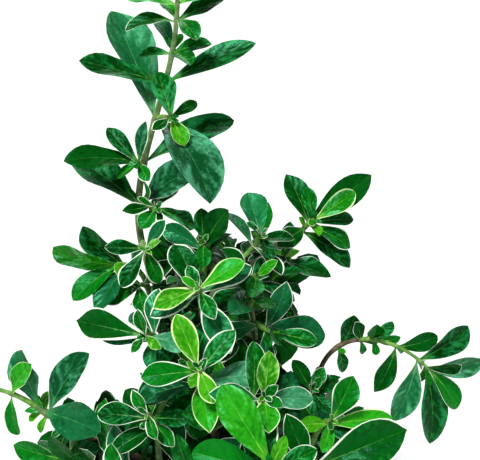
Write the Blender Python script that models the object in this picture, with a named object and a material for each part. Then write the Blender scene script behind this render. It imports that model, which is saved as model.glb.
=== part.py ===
"""A young snow leaves serissa, rooted in the ground: a short leaning trunk with a root flare,
boughs that fan out from it, and on each bough's tip a mass of forking twigs set with
opposite pairs of leaves. Run it with blender --background --python part.py.

Tables and growth are in millimetres, with X to the right, Y away from the front and Z up
from the ground. Meshes are in metres.
"""

import math
import random
from typing import NamedTuple

import bmesh
import bpy
from mathutils import Quaternion, Vector
from mathutils.bvhtree import BVHTree

METRES = 0.001  # one millimetre
CLEAR = 0.3  # gap where one solid faces the next

# Trunk
TRUNK_TIP = (1.5, -1.0, 44.0)
TRUNK_BOW = (-2.5, 0.5, 0.0)  # how far its middle stands off the straight line
TRUNK_FOOT_RADIUS = 4.6
TRUNK_TIP_RADIUS = 3.0
FLARE = 3.4  # extra radius of the root flare at the ground
FLARE_HEIGHT = 5.0  # height in which the flare falls to a third
FLARE_LOBES = 5
TRUNK_SIDES = 15
TRUNK_STEPS = 9

# Boughs and twigs
BOUGH_SIDES = 6
BOUGH_STEPS = 6
BOUGH_TIP_RADIUS = 1.0
STEM_SIDES = 4
STEM_STEPS = 4  # at least, and one more for each of these lengths
STEP_LENGTH = 8.0
STEM_RADIUS = 0.95
TWIG_SIDES = 3
TWIG_STEPS = 3
TWIG_RADIUS = 0.7
TWIG_TIP_RADIUS = 0.45
TIP_PAIR_BACK = 0.6  # how far behind its twig's end the last pair is rooted

# Leaves
WIDTH_PLAY = 0.06  # either way, of a leaf's width as a share of its length
LENGTH_PLAY = 0.07
CURL_PLAY = 0.4
LEAF_THICKNESS = 0.025  # of the blade over its own bend, as a share of its length
LEAF_WIDEST = 0.62  # where along the leaf it is widest
LEAF_BASE = 1.5  # how slowly it widens from its root
LEAF_POINT = 0.75  # how bluntly it ends
LEAF_OUTLINE = (0.36, 0.74)  # where the solid's outline has its corners
LEAF_MIDDLE = 0.5
LEAF_TROUGH = 0.2  # how far the edges stand above the midrib, per half width
SIZE_FROM_TIP = (0.72, 0.88, 1.0, 1.08)  # a pair's leaf length, counted from the shoot's tip
SPREAD_FROM_TIP = (40, 58, 70, 78)  # a pair's angle off the twig, in degrees
LEAF_CURL = 26  # how far a leaf bends back over its length, in degrees
LARGEST_TURN = 1.5  # the most that is taken for a leaf's turn to the light, in radians
JITTER = 7  # degrees either way
PROBE_START = 0.24  # the share of a leaf, next to its root, that may touch its own twig
TRIES = (  # change of spread, change of phase and size, until a leaf touches nothing
    (0, 0, 1.0),
    (10, 0, 1.0),
    (-12, 0, 1.0),
    (0, 14, 1.0),
    (0, -14, 1.0),
    (14, 14, 0.92),
    (-16, -14, 0.92),
    (0, 26, 0.86),
    (0, -26, 0.86),
    (-26, 0, 0.8),
    (24, 0, 0.74),
)

# Crown
HEART = Vector((1.0, 0.0, 58.0))  # shoots aim away from here
CROWN_EDGE = (  # level, and how far to the left and right shoots may stand there
    (20, -46, 44),
    (46, -50, 40),
    (56, -44, 32),
    (66, -16, 22),
    (74, -14, 7),
    (88, -14, 7),
    (98, -16, 18),
    (112, -8, 10),
)
CROWN_DEPTH = 56.0  # how far to the front and back, at the foot of the crown
CROWN_TOP = 122.0
VIEW_FALL = 0.325  # levels drop this much for each millimetre to the back
LOWEST_TIP = 22.0
LOWEST_LEAF = 10.0
FILL_CANDIDATES = 40
FILL_REACH = (13.0, 24.0)
FILL_APART = 8.5
FILL_PAIRS = 3
FILL_LEAF = 16.5
FILL_LEAFY = 7.5
SEED = 11

COLOURS = {  # base colour, roughness
    "bark": ((0.24, 0.18, 0.13), 0.85),
    "leaf": ((0.05, 0.20, 0.05), 0.4),
}


class Bough(NamedTuple):
    """A limb from the trunk to the start of a mass of foliage."""

    height: float  # where it leaves the trunk, as a share of the trunk's length
    tip: tuple
    arch: float  # how far its middle rises over the straight line
    radius: float
    aim: tuple = None  # which way the tip points, or away from the heart


class Pair(NamedTuple):
    """Two leaves across a twig from each other, for twigs whose leaves are set one by one."""

    at: float  # share of the twig
    turn: float  # of the first leaf about the twig, in degrees
    lengths: tuple  # of the first leaf and the second, where 0 leaves it out
    spreads: tuple  # of each off the twig, in degrees
    curls: tuple = (LEAF_CURL, LEAF_CURL)  # how far each bends back
    widths: tuple = (0.42, 0.42)  # shares of their lengths
    rolls: tuple = (0, 0)  # further turn of each about its own length, in degrees
    loose: float = 0.0  # how much of the dice's play it takes


class Shoot(NamedTuple):
    """A leafy twig. The first of a mass is its stem, and the others leave that stem."""

    tip: tuple
    roll: float = 0.0  # turn of the tip's pair of leaves about the twig, in degrees
    at: float = 0.0  # share of the stem where it leaves
    pairs: object = 3  # how many, or each Pair
    leafy: float = 7.0  # length that the pairs are spread over, back from the tip
    leaf: float = 14.0
    aim: tuple = None  # which way the tip points, or away from the heart
    arch: float = 0.0
    light: tuple = None  # where its leaves turn their faces, or away from the heart
    lit: float = 0.55  # share of that turn which they make


class Mass(NamedTuple):
    bough: Bough
    shoots: tuple
    fill: int = 0  # further shoots, placed where the crown is thinnest


MASSES = {
    "leader": Mass(
        Bough(1.0, (-19.3, -1, 109), 0, 2.6, (-0.3, 0, 1)),
        (
            Shoot(
                (-10.3, -1, 181),
                aim=(-0.1, 0, 1),
                light=(0.1, -1, 0.4),
                pairs=(
                    Pair(0.20, 162, (23, 19.5), (50, 40), widths=(0.42, 0.5)),
                    Pair(0.36, 200, (20.5, 26), (83, 43), widths=(0.33, 0.32)),
                    Pair(0.52, 140, (32, 28), (42, 92), (16, 50), widths=(0.38, 0.46)),
                    Pair(0.65, 185, (21.5, 24.5), (88, 46), (4, 10), (0.3, 0.28)),
                    Pair(0.75, 170, (8.5, 10.5), (95, 50), widths=(0.42, 0.44)),
                    Pair(0.76, 122, (13, 10), (48, 84), widths=(0.3, 0.5)),
                    Pair(0.855, 195, (13, 13), (74, 51), (60, 20), widths=(0.32, 0.4)),
                    Pair(0.865, 308, (10, 9), (91, 50), (40, 26), widths=(0.5, 0.36)),
                    Pair(0.91, 185, (13, 12), (71, 56), widths=(0.46, 0.5)),
                    Pair(0.985, 95, (8, 8), (28, 28)),
                ),
            ),
            Shoot(
                (-18, -17, 117.5),
                at=0.04,
                aim=(0.1, -1, 0.2),
                pairs=(
                    Pair(0.99, 145, (11, 9), (66, 66)),
                    Pair(0.9, 85, (10, 0), (72, 0)),
                    Pair(0.89, 200, (9.5, 0), (72, 0)),
                ),
            ),
            Shoot(
                (-16, -5, 124.5),
                at=0.2,
                aim=(0.3, -1, 0.3),
                pairs=(
                    Pair(0.99, 238, (12, 6), (70, 70), widths=(0.5, 0.42)),
                    Pair(0.97, 132, (7, 12), (66, 84), widths=(0.66, 0.42)),
                    Pair(0.5, 310, (11, 0), (60, 0)),
                    Pair(0.6, 95, (8, 0), (92, 0)),
                    Pair(0.4, 42, (10, 0), (66, 0), widths=(0.3, 0)),
                ),
            ),
            Shoot(
                (-20.5, -4, 136),
                at=0.36,
                aim=(-0.2, -1, 0.4),
                pairs=(
                    Pair(0.99, 50, (12.5, 7), (80, 60), widths=(0.36, 0.5)),
                    Pair(0.7, 345, (11.5, 0), (66, 0), widths=(0.3, 0), rolls=(50, 0)),
                    Pair(0.9, 105, (8, 0), (60, 0), widths=(0.5, 0)),
                ),
            ),
            Shoot(
                (-11.5, -6, 147.5),
                at=0.52,
                aim=(0.2, -1, 0.2),
                pairs=(
                    Pair(0.99, 15, (12, 10), (75, 70), widths=(0.48, 0.56)),
                    Pair(0.7, 110, (6.5, 9), (66, 76), widths=(0.46, 0.36)),
                ),
            ),
        ),
        0,
    ),
    "crown_front": Mass(
        Bough(0.86, (-3, -13, 90), 4, 2.0),
        (
            Shoot(
                (-4.5, -31, 113),
                aim=(0, -0.8, 0.6),
                pairs=(
                    Pair(0.99, 118, (12, 12.5), (62, 62)),
                    Pair(0.93, 27, (11.5, 9), (66, 60)),
                    Pair(0.87, 298, (14, 13), (74, 74)),
                    Pair(0.8, 28, (15, 16), (76, 78)),
                ),
            ),
            Shoot(
                (-4, -13, 118),
                at=0.4,
                aim=(-0.1, -0.7, 0.7),
                light=(0, -1, 0.4),
                lit=0.85,
                pairs=(
                    Pair(0.99, 10, (10, 9), (66, 60)),
                    Pair(0.85, 345, (13.5, 12), (18, 50), widths=(0.48, 0.42)),
                    Pair(0.7, 340, (13, 14), (75, 75)),
                ),
            ),
            Shoot(
                (10.2, -15, 120.5),
                at=0.5,
                aim=(0.1, -0.8, 0.6),
                pairs=(
                    Pair(0.99, 10, (11.5, 8), (66, 60), widths=(0.62, 0.42)),
                    Pair(0.9, 70, (0, 10), (0, 66)),
                    Pair(0.8, 320, (13, 11), (76, 76)),
                ),
            ),
        ),
        2,
    ),
    "crown_right": Mass(
        Bough(0.8, (8, -10, 86), 5, 1.9),
        (
            Shoot((9, -20, 112), 130, pairs=3, leafy=7, leaf=14, aim=(0.5, -0.7, 0.4)),
            Shoot((13, -28, 100.5), 72, at=0.3, pairs=3, leafy=7, leaf=17, aim=(0.8, -0.6, 0)),
        ),
        2,
    ),
    "right_high": Mass(
        Bough(0.9, (12, 0, 98), 4, 1.9),
        (
            Shoot(
                (24, -5, 121.5),
                aim=(0.4, -0.8, 0.5),
                light=(0.1, -1, 0.6),
                pairs=(
                    Pair(0.99, 292, (14, 5), (66, 40), widths=(0.36, 0.42)),
                    Pair(0.95, 2, (9, 0), (62, 0)),
                    Pair(0.88, 3, (14.5, 0), (72, 0), widths=(0.46, 0)),
                    Pair(0.87, 50, (0, 13.5), (0, 80), widths=(0, 0.38)),
                    Pair(0.8, 280, (24.5, 13), (38, 76), widths=(0.31, 0.42)),
                    Pair(0.93, 262, (12.5, 0), (72, 0), widths=(0.3, 0)),
                    Pair(0.74, 202, (16, 0), (78, 0)),
                ),
            ),
            Shoot((10, -2, 115), 355, at=0.2, pairs=2, leafy=3, leaf=14, aim=(-0.1, -0.7, 0.7)),
            Shoot(
                (16, -6, 111),
                at=0.3,
                aim=(0.4, -0.8, 0.2),
                pairs=(
                    Pair(0.99, 243, (13.3, 11), (50, 50), widths=(0.48, 0.42)),
                    Pair(0.9, 330, (11, 15), (58, 58)),
                ),
            ),
        ),
        0,
    ),
    "right_arch": Mass(
        Bough(0.7, (25.5, -14, 84), 6, 1.7, (0.1, -0.1, 1)),
        (
            Shoot(
                (52.5, -20, 86.5),
                aim=(0.85, -0.05, -0.5),
                arch=3.6,
                light=(0.1, -1, 0.5),
                lit=0.9,
                pairs=(
                    Pair(0.24, 10, (10, 0), (18, 0), widths=(0.52, 0)),
                    Pair(0.22, 190, (7.5, 0), (110, 0)),
                    Pair(0.42, 10, (7, 4), (76, 80), widths=(0.46, 0.5)),
                    Pair(0.5, 35, (7.5, 0), (62, 0), widths=(0.56, 0)),
                    Pair(0.52, 350, (7, 4), (36, 60), widths=(0.5, 0.5)),
                    Pair(0.54, 345, (6.5, 0), (4, 0)),
                    Pair(0.7, 335, (11, 12.5), (25, 80)),
                    Pair(0.88, 345, (15.5, 17), (60, 60), widths=(0.42, 0.46)),
                    Pair(0.985, 5, (14, 13.5), (49, -6), widths=(0.5, 0.42)),
                    Pair(0.95, 30, (10, 0), (54, 0)),
                    Pair(0.95, 176, (21.5, 0), (16, 0), widths=(0.34, 0)),
                ),
            ),
        ),
        0,
    ),
    "left_high": Mass(
        Bough(0.82, (-15, -5, 89), 4, 1.9),
        (
            Shoot(
                (-25, -12, 112),
                aim=(-0.9, -0.3, 0.1),
                light=(0, -1, 0.5),
                pairs=(
                    Pair(0.99, 5, (18, 15), (-2, 28), widths=(0.45, 0.42)),
                    Pair(0.9, 30, (15.5, 15), (13, 44), widths=(0.48, 0.42)),
                    Pair(0.8, 340, (8, 13), (40, 66)),
                ),
            ),
            Shoot((-20, -17, 108), 30, at=0.5, pairs=2, leafy=4, leaf=13, aim=(-0.2, -1, 0.2)),
        ),
        1,
    ),
    "left_mid": Mass(
        Bough(0.74, (-11, -16, 80), 5, 1.8),
        (
            Shoot(
                (-17, -33, 102),
                aim=(-0.4, -0.9, 0.2),
                pairs=(
                    Pair(0.99, 10, (7.5, 0), (50, 0)),
                    Pair(0.98, 325, (0, 5.5), (0, 70)),
                    Pair(0.9, 87, (20.2, 11), (78, 70), widths=(0.38, 0.42)),
                    Pair(0.8, 185, (8, 12), (75, 70)),
                    Pair(0.7, 90, (15, 13), (80, 75), widths=(0.3, 0.42)),
                    Pair(0.6, 45, (13, 0), (76, 0)),
                ),
            ),
        ),
        2,
    ),
    "left_low": Mass(
        Bough(0.6, (-32, -20, 66.5), 5, 1.8, (-0.8, -0.1, 0.5)),
        (
            Shoot(
                (-56, -21, 82),
                aim=(-0.85, -0.1, 0.5),
                arch=2.0,
                light=(0, -1, 0.5),
                lit=0.8,
                pairs=(
                    Pair(0.25, 20, (4.5, 13), (88, 112)),
                    Pair(0.27, 200, (4.5, 0), (60, 0)),
                    Pair(0.46, 8, (19.5, 5.5), (74, 90), widths=(0.4, 0.42)),
                    Pair(0.5, 314, (20.5, 0), (116, 0)),
                    Pair(0.51, 0, (17.5, 5), (26, 60), widths=(0.48, 0.42)),
                    Pair(0.48, 60, (6, 0), (50, 0)),
                    Pair(0.84, 180, (11.5, 12), (105, 84)),
                    Pair(0.97, 30, (12, 11), (50, 50)),
                ),
            ),
            Shoot(
                (-39, -28, 66),
                at=0.1,
                aim=(-0.4, -0.7, 0.3),
                pairs=(
                    Pair(0.99, 84, (14, 9), (64, 60)),
                    Pair(0.9, 100, (13, 0), (70, 0)),
                    Pair(0.88, 225, (14, 0), (72, 0)),
                    Pair(0.8, 300, (12, 14), (80, 76)),
                ),
            ),
        ),
        1,
    ),
    "front_left": Mass(
        Bough(0.56, (-12, -26, 62), 6, 1.8),
        (
            Shoot(
                (-16, -43, 87),
                pairs=(
                    Pair(0.99, 40, (7, 7), (50, 60)),
                    Pair(0.92, 95, (13, 10), (74, 70)),
                    Pair(0.84, 50, (12, 9), (78, 70)),
                    Pair(0.76, 310, (12, 12), (74, 80)),
                ),
            ),
            Shoot((-22, -46, 70), 15, at=0.3, pairs=3, leafy=5, leaf=15, aim=(-0.3, -0.6, 0.6)),
        ),
        1,
    ),
    "front_mid": Mass(
        Bough(0.66, (-1, -26, 72), 6, 1.9),
        (
            Shoot(
                (-4.2, -46.5, 100.5),
                aim=(0, -0.8, 0.6),
                pairs=(
                    Pair(0.99, 24, (13, 9.5), (62, 62)),
                    Pair(0.93, 100, (13, 0), (70, 0)),
                    Pair(0.92, 320, (12.5, 0), (66, 0)),
                    Pair(0.84, 195, (14, 13), (76, 76)),
                    Pair(0.76, 285, (15, 15), (78, 78)),
                ),
            ),
            Shoot((10.4, -49, 94.5), -14, at=0.3, pairs=3, leafy=7, leaf=15),
        ),
        1,
    ),
    "front_low": Mass(
        Bough(0.46, (4, -34, 52), 7, 1.8),
        (
            Shoot(
                (11.5, -64, 86.5),
                aim=(-0.1, -0.8, 0.6),
                pairs=(
                    Pair(0.99, 36, (20, 9), (62, 60), widths=(0.38, 0.42)),
                    Pair(0.98, 335, (7.5, 0), (52, 0)),
                    Pair(0.93, 12, (14, 13), (66, 70), widths=(0.44, 0.42)),
                    Pair(0.9, 295, (11, 0), (70, 0)),
                    Pair(0.84, 70, (18, 17), (76, 76)),
                ),
            ),
        ),
        2,
    ),
    "front_right": Mass(
        Bough(0.6, (15, -24, 62), 6, 1.8),
        (
            Shoot(
                (25.5, -46, 87),
                aim=(0.3, -0.8, 0.4),
                pairs=(
                    Pair(0.99, 326, (11.5, 8), (62, 60), widths=(0.56, 0.42)),
                    Pair(0.92, 264, (16, 8), (72, 66), widths=(0.3, 0.46)),
                    Pair(0.85, 80, (12, 12), (72, 72)),
                    Pair(0.78, 20, (13, 14), (76, 76)),
                ),
            ),
            Shoot(
                (20, -58, 82),
                at=0.4,
                aim=(0.2, -0.7, 0.6),
                pairs=(
                    Pair(0.99, 283, (23, 9), (64, 60)),
                    Pair(0.9, 20, (13, 10), (66, 66)),
                    Pair(0.8, 320, (0, 15), (0, 76)),
                ),
            ),
            Shoot(
                (22.5, -26, 84.5),
                at=0.1,
                aim=(0.1, -0.8, 0.5),
                pairs=(
                    Pair(0.99, 30, (9, 7.5), (60, 60), widths=(0.46, 0.42)),
                    Pair(0.95, 325, (7, 6), (60, 60), widths=(0.5, 0.42)),
                    Pair(0.88, 285, (9, 11), (70, 70)),
                ),
            ),
        ),
        1,
    ),
    "back_high": Mass(
        Bough(0.94, (1, 8, 84), 3, 1.9),
        (Shoot((2, 10, 106), 30, pairs=3, leafy=8, leaf=16),),
        3,
    ),
    "back_left": Mass(
        Bough(0.72, (-13, 17, 48), 6, 1.9),
        (Shoot((-19, 31, 58), 0, pairs=3, leafy=8, leaf=16),),
        3,
    ),
    "back_middle": Mass(
        Bough(0.78, (0, 22, 66), 6, 1.9),
        (Shoot((-1, 36, 84), 45, pairs=3, leafy=8, leaf=16),),
        3,
    ),
    "back_right": Mass(
        Bough(0.66, (12, 17, 48), 6, 1.9),
        (Shoot((17, 30, 58), 20, pairs=3, leafy=8, leaf=16),),
        3,
    ),
    "low_left": Mass(
        Bough(0.34, (-24, 3, 32), 5, 1.8),
        (Shoot((-44, 5, 42), 30, pairs=3, leafy=8, leaf=16),),
        4,
    ),
    "low_right": Mass(
        Bough(0.4, (23, 2, 32), 5, 1.8),
        (Shoot((40, 4, 38), 60, pairs=3, leafy=8, leaf=16),),
        4,
    ),
    "low_front_left": Mass(
        Bough(0.3, (-15, -20, 32), 5, 1.7),
        (Shoot((-30, -42, 46), 15, pairs=3, leafy=8, leaf=16),),
        4,
    ),
    "low_front_right": Mass(
        Bough(0.36, (17, -19, 33), 5, 1.7),
        (Shoot((32, -42, 48), 75, pairs=3, leafy=8, leaf=16),),
        4,
    ),
    "low_back_left": Mass(
        Bough(0.44, (-13, 22, 33), 5, 1.7),
        (Shoot((-26, 42, 40), 50, pairs=3, leafy=8, leaf=16),),
        4,
    ),
    "low_back_right": Mass(
        Bough(0.5, (15, 22, 33), 5, 1.7),
        (Shoot((27, 41, 40), 10, pairs=3, leafy=8, leaf=16),),
        4,
    ),
}


class Solid:
    """A closed surface, with what is needed to tell whether it touches another."""

    def __init__(self, points, faces):
        self.points = points
        self.faces = faces
        self.tree = BVHTree.FromPolygons(points, faces)
        self.low = [min(p[axis] for p in points) for axis in range(3)]
        self.high = [max(p[axis] for p in points) for axis in range(3)]

    def near(self, other):
        return all(
            self.low[axis] <= other.high[axis] and other.low[axis] <= self.high[axis] for axis in range(3)
        )

    def touches(self, other):
        return self.near(other) and bool(self.tree.overlap(other.tree))


class Path:
    """A smooth line from a start to a tip, leaving along lead and ending along aim."""

    def __init__(self, start, tip, lead, aim, arch=0.0):
        reach = (tip - start).length * 0.36
        rise = Vector((0, 0, arch * 4 / 3))
        self.corners = (start, start + lead * reach + rise, tip - aim * reach + rise, tip)
        self.length = (tip - start).length

    def point(self, t):
        a, b, c, d = self.corners
        u = 1 - t
        return a * u**3 + b * (3 * u * u * t) + c * (3 * u * t * t) + d * t**3

    def way(self, t):
        a, b, c, d = self.corners
        u = 1 - t
        return ((b - a) * (u * u) + (c - b) * (2 * u * t) + (d - c) * (t * t)).normalized()


def across(way):
    """Two directions square to a twig, the first of them as near upright as it can be."""
    upright = Vector((0, 0, 1)) if abs(way.z) < 0.93 else Vector((1, 0, 0))
    first = (upright - way * upright.dot(way)).normalized()
    return first, way.cross(first)


def tube(path, start, end, radius_at, sides, steps):
    """A closed round limb along part of a path. radius_at takes the share done and the angle."""
    points = []
    faces = []
    first, _ = across(path.way(start))
    for step in range(steps + 1):
        share = step / steps
        t = start + (end - start) * share
        way = path.way(t)
        first = (first - way * first.dot(way)).normalized()
        second = way.cross(first)
        for side in range(sides):
            angle = math.tau * side / sides
            out = first * math.cos(angle) + second * math.sin(angle)
            points.append(path.point(t) + out * radius_at(share, angle))
    for step in range(steps):
        for side in range(sides):
            after = (side + 1) % sides
            low, high = step * sides, (step + 1) * sides
            faces.append((low + side, low + after, high + after, high + side))
    faces.append(tuple(reversed(range(sides))))
    faces.append(tuple(range(steps * sides, (steps + 1) * sides)))
    return Solid(points, faces)


def tapered(path, start, end, foot, tip, sides, steps):
    return tube(path, start, end, lambda share, _: foot + (tip - foot) * share, sides, steps)


class Leaf:
    """A leaf's middle line and blade: it leaves its twig at an angle and bends back."""

    def __init__(self, root, way, out, length, width, spread, curl, turned):
        self.root = root
        self.way = way
        self.out = out
        self.length = length
        self.half = length * width / 2
        self.spread = math.radians(spread)
        self.curl = math.radians(curl)
        self.turned = turned

    def angle(self, s):
        return self.spread + self.curl * s

    def middle(self, s):
        first, last = self.spread, self.angle(s)
        along = self.way * (math.sin(last) - math.sin(first)) + self.out * (math.cos(first) - math.cos(last))
        return self.root + along * (self.length / self.curl)

    def frame(self, s):
        """The blade's sideways direction and its upper face's normal."""
        angle = self.angle(s)
        forward = self.way * math.cos(angle) + self.out * math.sin(angle)
        normal = self.way * math.sin(angle) - self.out * math.cos(angle)
        turn = Quaternion(forward, self.turned)
        return turn @ forward.cross(normal), turn @ normal

    def half_width(self, s):
        rise = (s / LEAF_WIDEST) ** LEAF_BASE
        return self.half * rise * ((1 - s) / (1 - LEAF_WIDEST)) ** LEAF_POINT

    def at(self, s, side, lift, wider=0.0):
        sideways, normal = self.frame(s)
        half = self.half_width(s) + wider
        return self.middle(s) + sideways * (half * side) + normal * (lift + LEAF_TROUGH * half * abs(side))

    def corners(self, start, grown):
        """Its outline from the root round to the root, and the raised middle of its face."""
        low, high = LEAF_OUTLINE
        low = max(low, start + 0.1)
        sideways, normal = self.frame(1.0)
        tip = self.middle(1.0) + normal.cross(sideways).normalized() * grown
        outline = [
            self.middle(start),
            self.at(low, 1, 0, grown),
            self.at(high, 1, 0, grown),
            tip,
            self.at(high, -1, 0, grown),
            self.at(low, -1, 0, grown),
        ]
        return outline + [self.at(LEAF_MIDDLE, 0, self.length * LEAF_THICKNESS + grown)]

    def solid(self):
        """Ten faces: six over the arched blade and four under it, from root to tip."""
        faces = [(6, corner, (corner + 1) % 6) for corner in range(6)]
        faces += [(0, 3, 1), (1, 3, 2), (0, 5, 3), (5, 4, 3)]
        return Solid(self.corners(0.0, 0.0), faces)

    def room(self, start=0.0):
        """The clear space that the blade needs round it, from a share of its length on."""
        points = self.corners(start, CLEAR)
        keel = (points[0] + points[3]) / 2 - self.frame(LEAF_MIDDLE)[1] * CLEAR
        points.append(keel)
        faces = [(6, corner, (corner + 1) % 6) for corner in range(6)]
        faces += [(7, (corner + 1) % 6, corner) for corner in range(6)]
        return Solid(points, faces)


def turn_to_light(way, out, spread, curl, light):
    """How far a leaf would twist on its stalk to turn its upper face to the light."""
    angle = math.radians(spread + curl / 2)
    forward = way * math.cos(angle) + out * math.sin(angle)
    normal = way * math.sin(angle) - out * math.cos(angle)
    sky = light - forward * forward.dot(light)
    if sky.length < 0.2:
        return 0.0
    full = math.atan2(forward.dot(normal.cross(sky)), normal.dot(sky))
    return max(-LARGEST_TURN, min(LARGEST_TURN, full))


class Twig:
    """One shoot's line, its own solid and the leaves that it carries."""

    def __init__(self, mass, shoot, path, solid, steps):
        self.mass = mass
        self.shoot = shoot
        self.path = path
        self.solid = solid
        self.steps = steps
        self.leaves = []

    def spot(self, t):
        """A point on the solid's own middle line, which is straight within each step."""
        step = min(int(t * self.steps), self.steps - 1)
        low = self.path.point(step / self.steps)
        high = self.path.point((step + 1) / self.steps)
        return low + (high - low) * (t * self.steps - step)

    def light(self):
        if self.shoot.light:
            return Vector(self.shoot.light).normalized()
        return (self.path.point(1.0) - HEART).normalized()


def pair_places(twig):
    """Each pair by the rule: closer, smaller and steeper towards the shoot's tip."""
    shoot = twig.shoot
    pitch = shoot.leafy / max(shoot.pairs - 1, 1)
    for pair in range(shoot.pairs):
        at = 1 - pair * pitch / twig.path.length
        if at < 0.05:
            return
        length = shoot.leaf * SIZE_FROM_TIP[min(pair, 3)]
        spread = SPREAD_FROM_TIP[min(pair, 3)]
        yield Pair(at, shoot.roll + 90 * pair, (length, length), (spread, spread), loose=1.0)


class Plant:
    """Every solid that has been placed, so that the next one can keep clear of it."""

    def __init__(self):
        self.placed = []
        self.tips = []
        self.skipped = 0

    def add(self, mass, solid):
        self.placed.append((mass, solid))
        return solid

    def free(self, mass, whole, beyond_root, besides):
        """Whether the whole clears all other masses, and its outer part clears its own too."""
        for owner, other in self.placed:
            if owner != mass and whole.touches(other):
                return False
            if owner == mass and other not in besides and beyond_root.touches(other):
                return False
        return True

    def grow_leaf(self, twig, pair, side, dice):
        at = min(pair.at, 1 - TIP_PAIR_BACK / twig.path.length)
        way = twig.path.way(at)
        first, second = across(way)
        play = [pair.loose * dice.uniform(-1, 1) for _ in range(5)]
        turn = pair.turn + 180 * side + JITTER * play[0]
        length = pair.lengths[side] * (1 + LENGTH_PLAY * play[1])
        width = pair.widths[side] + WIDTH_PLAY * play[2]
        lean = pair.spreads[side] + JITTER * play[3]
        curl = pair.curls[side] * (1 + CURL_PLAY * play[4])
        for more_lean, more_turn, size in TRIES:
            angle = math.radians(turn + more_turn)
            out = first * math.cos(angle) + second * math.sin(angle)
            spread = lean + more_lean
            turned = twig.shoot.lit * turn_to_light(way, out, spread, curl, twig.light())
            turned += math.radians(pair.rolls[side])
            leaf = Leaf(twig.spot(at), way, out, length * size, width, spread, curl, turned)
            whole = leaf.room()
            beyond = leaf.room(PROBE_START)
            if whole.low[2] > LOWEST_LEAF and self.free(twig.mass, whole, beyond, (twig.solid,)):
                self.add(twig.mass, leaf.solid())
                twig.leaves.append(leaf)
                return
        self.skipped += 1

    def grow_leaves(self, twig, dice):
        pairs = twig.shoot.pairs
        for pair in pair_places(twig) if isinstance(pairs, int) else pairs:
            for side in (0, 1):
                if pair.lengths[side]:
                    self.grow_leaf(twig, pair, side, dice)

    def grow_stem(self, mass, shoot, bough):
        lead = bough.way(1.0)
        path = path_to(shoot, bough.point(1.0) + lead * CLEAR, lead)
        steps = max(STEM_STEPS, round(path.length / STEP_LENGTH))
        solid = tapered(path, 0, 1, STEM_RADIUS, TWIG_TIP_RADIUS, STEM_SIDES, steps)
        room = tapered(path, 0, 1, STEM_RADIUS + CLEAR, TWIG_TIP_RADIUS + CLEAR, STEM_SIDES, steps)
        if not self.free(mass, room, room, ()):
            raise ValueError(f"the stem of {mass} touches something")
        self.tips.append(Vector(shoot.tip))
        return Twig(mass, shoot, path, self.add(mass, solid), steps)

    def grow_shoot(self, stem, shoot):
        """A twig off the mass's stem, or None where something is in its way."""
        start = stem.spot(shoot.at)
        lead = (stem.path.way(shoot.at) + (Vector(shoot.tip) - start).normalized()).normalized()
        path = path_to(shoot, start, lead)
        solid = tapered(path, 0, 1, TWIG_RADIUS, TWIG_TIP_RADIUS, TWIG_SIDES, TWIG_STEPS)
        grown = (TWIG_RADIUS + CLEAR, TWIG_TIP_RADIUS + CLEAR, TWIG_SIDES, TWIG_STEPS)
        whole, beyond = (tapered(path, share, 1, *grown) for share in (0, 0.15))
        if not self.free(stem.mass, whole, beyond, (stem.solid,)):
            return None
        self.tips.append(Vector(shoot.tip))
        return Twig(stem.mass, shoot, path, self.add(stem.mass, solid), TWIG_STEPS)

    def fill_shoots(self, stem, dice):
        """Candidate shoots, the one with the most room round its tip first."""
        found = []
        for _ in range(FILL_CANDIDATES):
            at = dice.uniform(0.1, 0.8)
            start = stem.spot(at)
            first, second = across(stem.path.way(at))
            angle = dice.uniform(0, math.tau)
            out = first * math.cos(angle) + second * math.sin(angle)
            away = (start - HEART).normalized()
            heading = (out + stem.path.way(at) * 0.5 + away * 0.6).normalized()
            tip = start + heading * dice.uniform(*FILL_REACH)
            room = min((tip - other).length for other in self.tips)
            roll = dice.uniform(0, 90)
            if room > FILL_APART and in_crown(tip):
                found.append((room, Shoot(tuple(tip), roll, at, FILL_PAIRS, FILL_LEAFY, FILL_LEAF)))
        return [shoot for _, shoot in sorted(found, key=lambda one: -one[0])]


def path_to(shoot, start, lead):
    tip = Vector(shoot.tip)
    aim = Vector(shoot.aim).normalized() if shoot.aim else (tip - HEART).normalized()
    return Path(start, tip, lead, aim, shoot.arch)


def in_crown(point):
    """Whether a tip lies within the crown, whose edge follows the plant's own skyline."""
    level = point.z + VIEW_FALL * point.y
    rows = zip(CROWN_EDGE, CROWN_EDGE[1:])
    low, high = next(((a, b) for a, b in rows if a[0] <= level <= b[0]), (None, None))
    if low is None or point.z < LOWEST_TIP:
        return False
    share = (level - low[0]) / (high[0] - low[0])
    left, right = (low[side] + (high[side] - low[side]) * share for side in (1, 2))
    depth = CROWN_DEPTH * math.sqrt(max(1 - (point.z / CROWN_TOP) ** 2, 0))
    return left < point.x < right and abs(point.y) < depth


def trunk_line():
    tip = Vector(TRUNK_TIP)
    path = Path(Vector((0, 0, 0)), tip, Vector((0, 0, 1)), tip.normalized())
    bow = Vector(TRUNK_BOW) * 4 / 3
    a, b, c, d = path.corners
    path.corners = (a, b + bow, c + bow, d)
    return path


def trunk_radius(share, angle):
    height = share * TRUNK_TIP[2]
    flare = FLARE * math.exp(-height * math.log(3) / FLARE_HEIGHT)
    lobes = 1 + 0.35 * math.cos(FLARE_LOBES * angle)
    return TRUNK_FOOT_RADIUS + (TRUNK_TIP_RADIUS - TRUNK_FOOT_RADIUS) * share + flare * lobes


def trunk_solid(path):
    """The trunk, denser in steps where the flare bends, with its foot cut level."""
    solid = tube(path, 0, 1, trunk_radius, TRUNK_SIDES, TRUNK_STEPS)
    for index in range(TRUNK_SIDES):
        solid.points[index].z = 0.0
    return Solid(solid.points, solid.faces)


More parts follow.
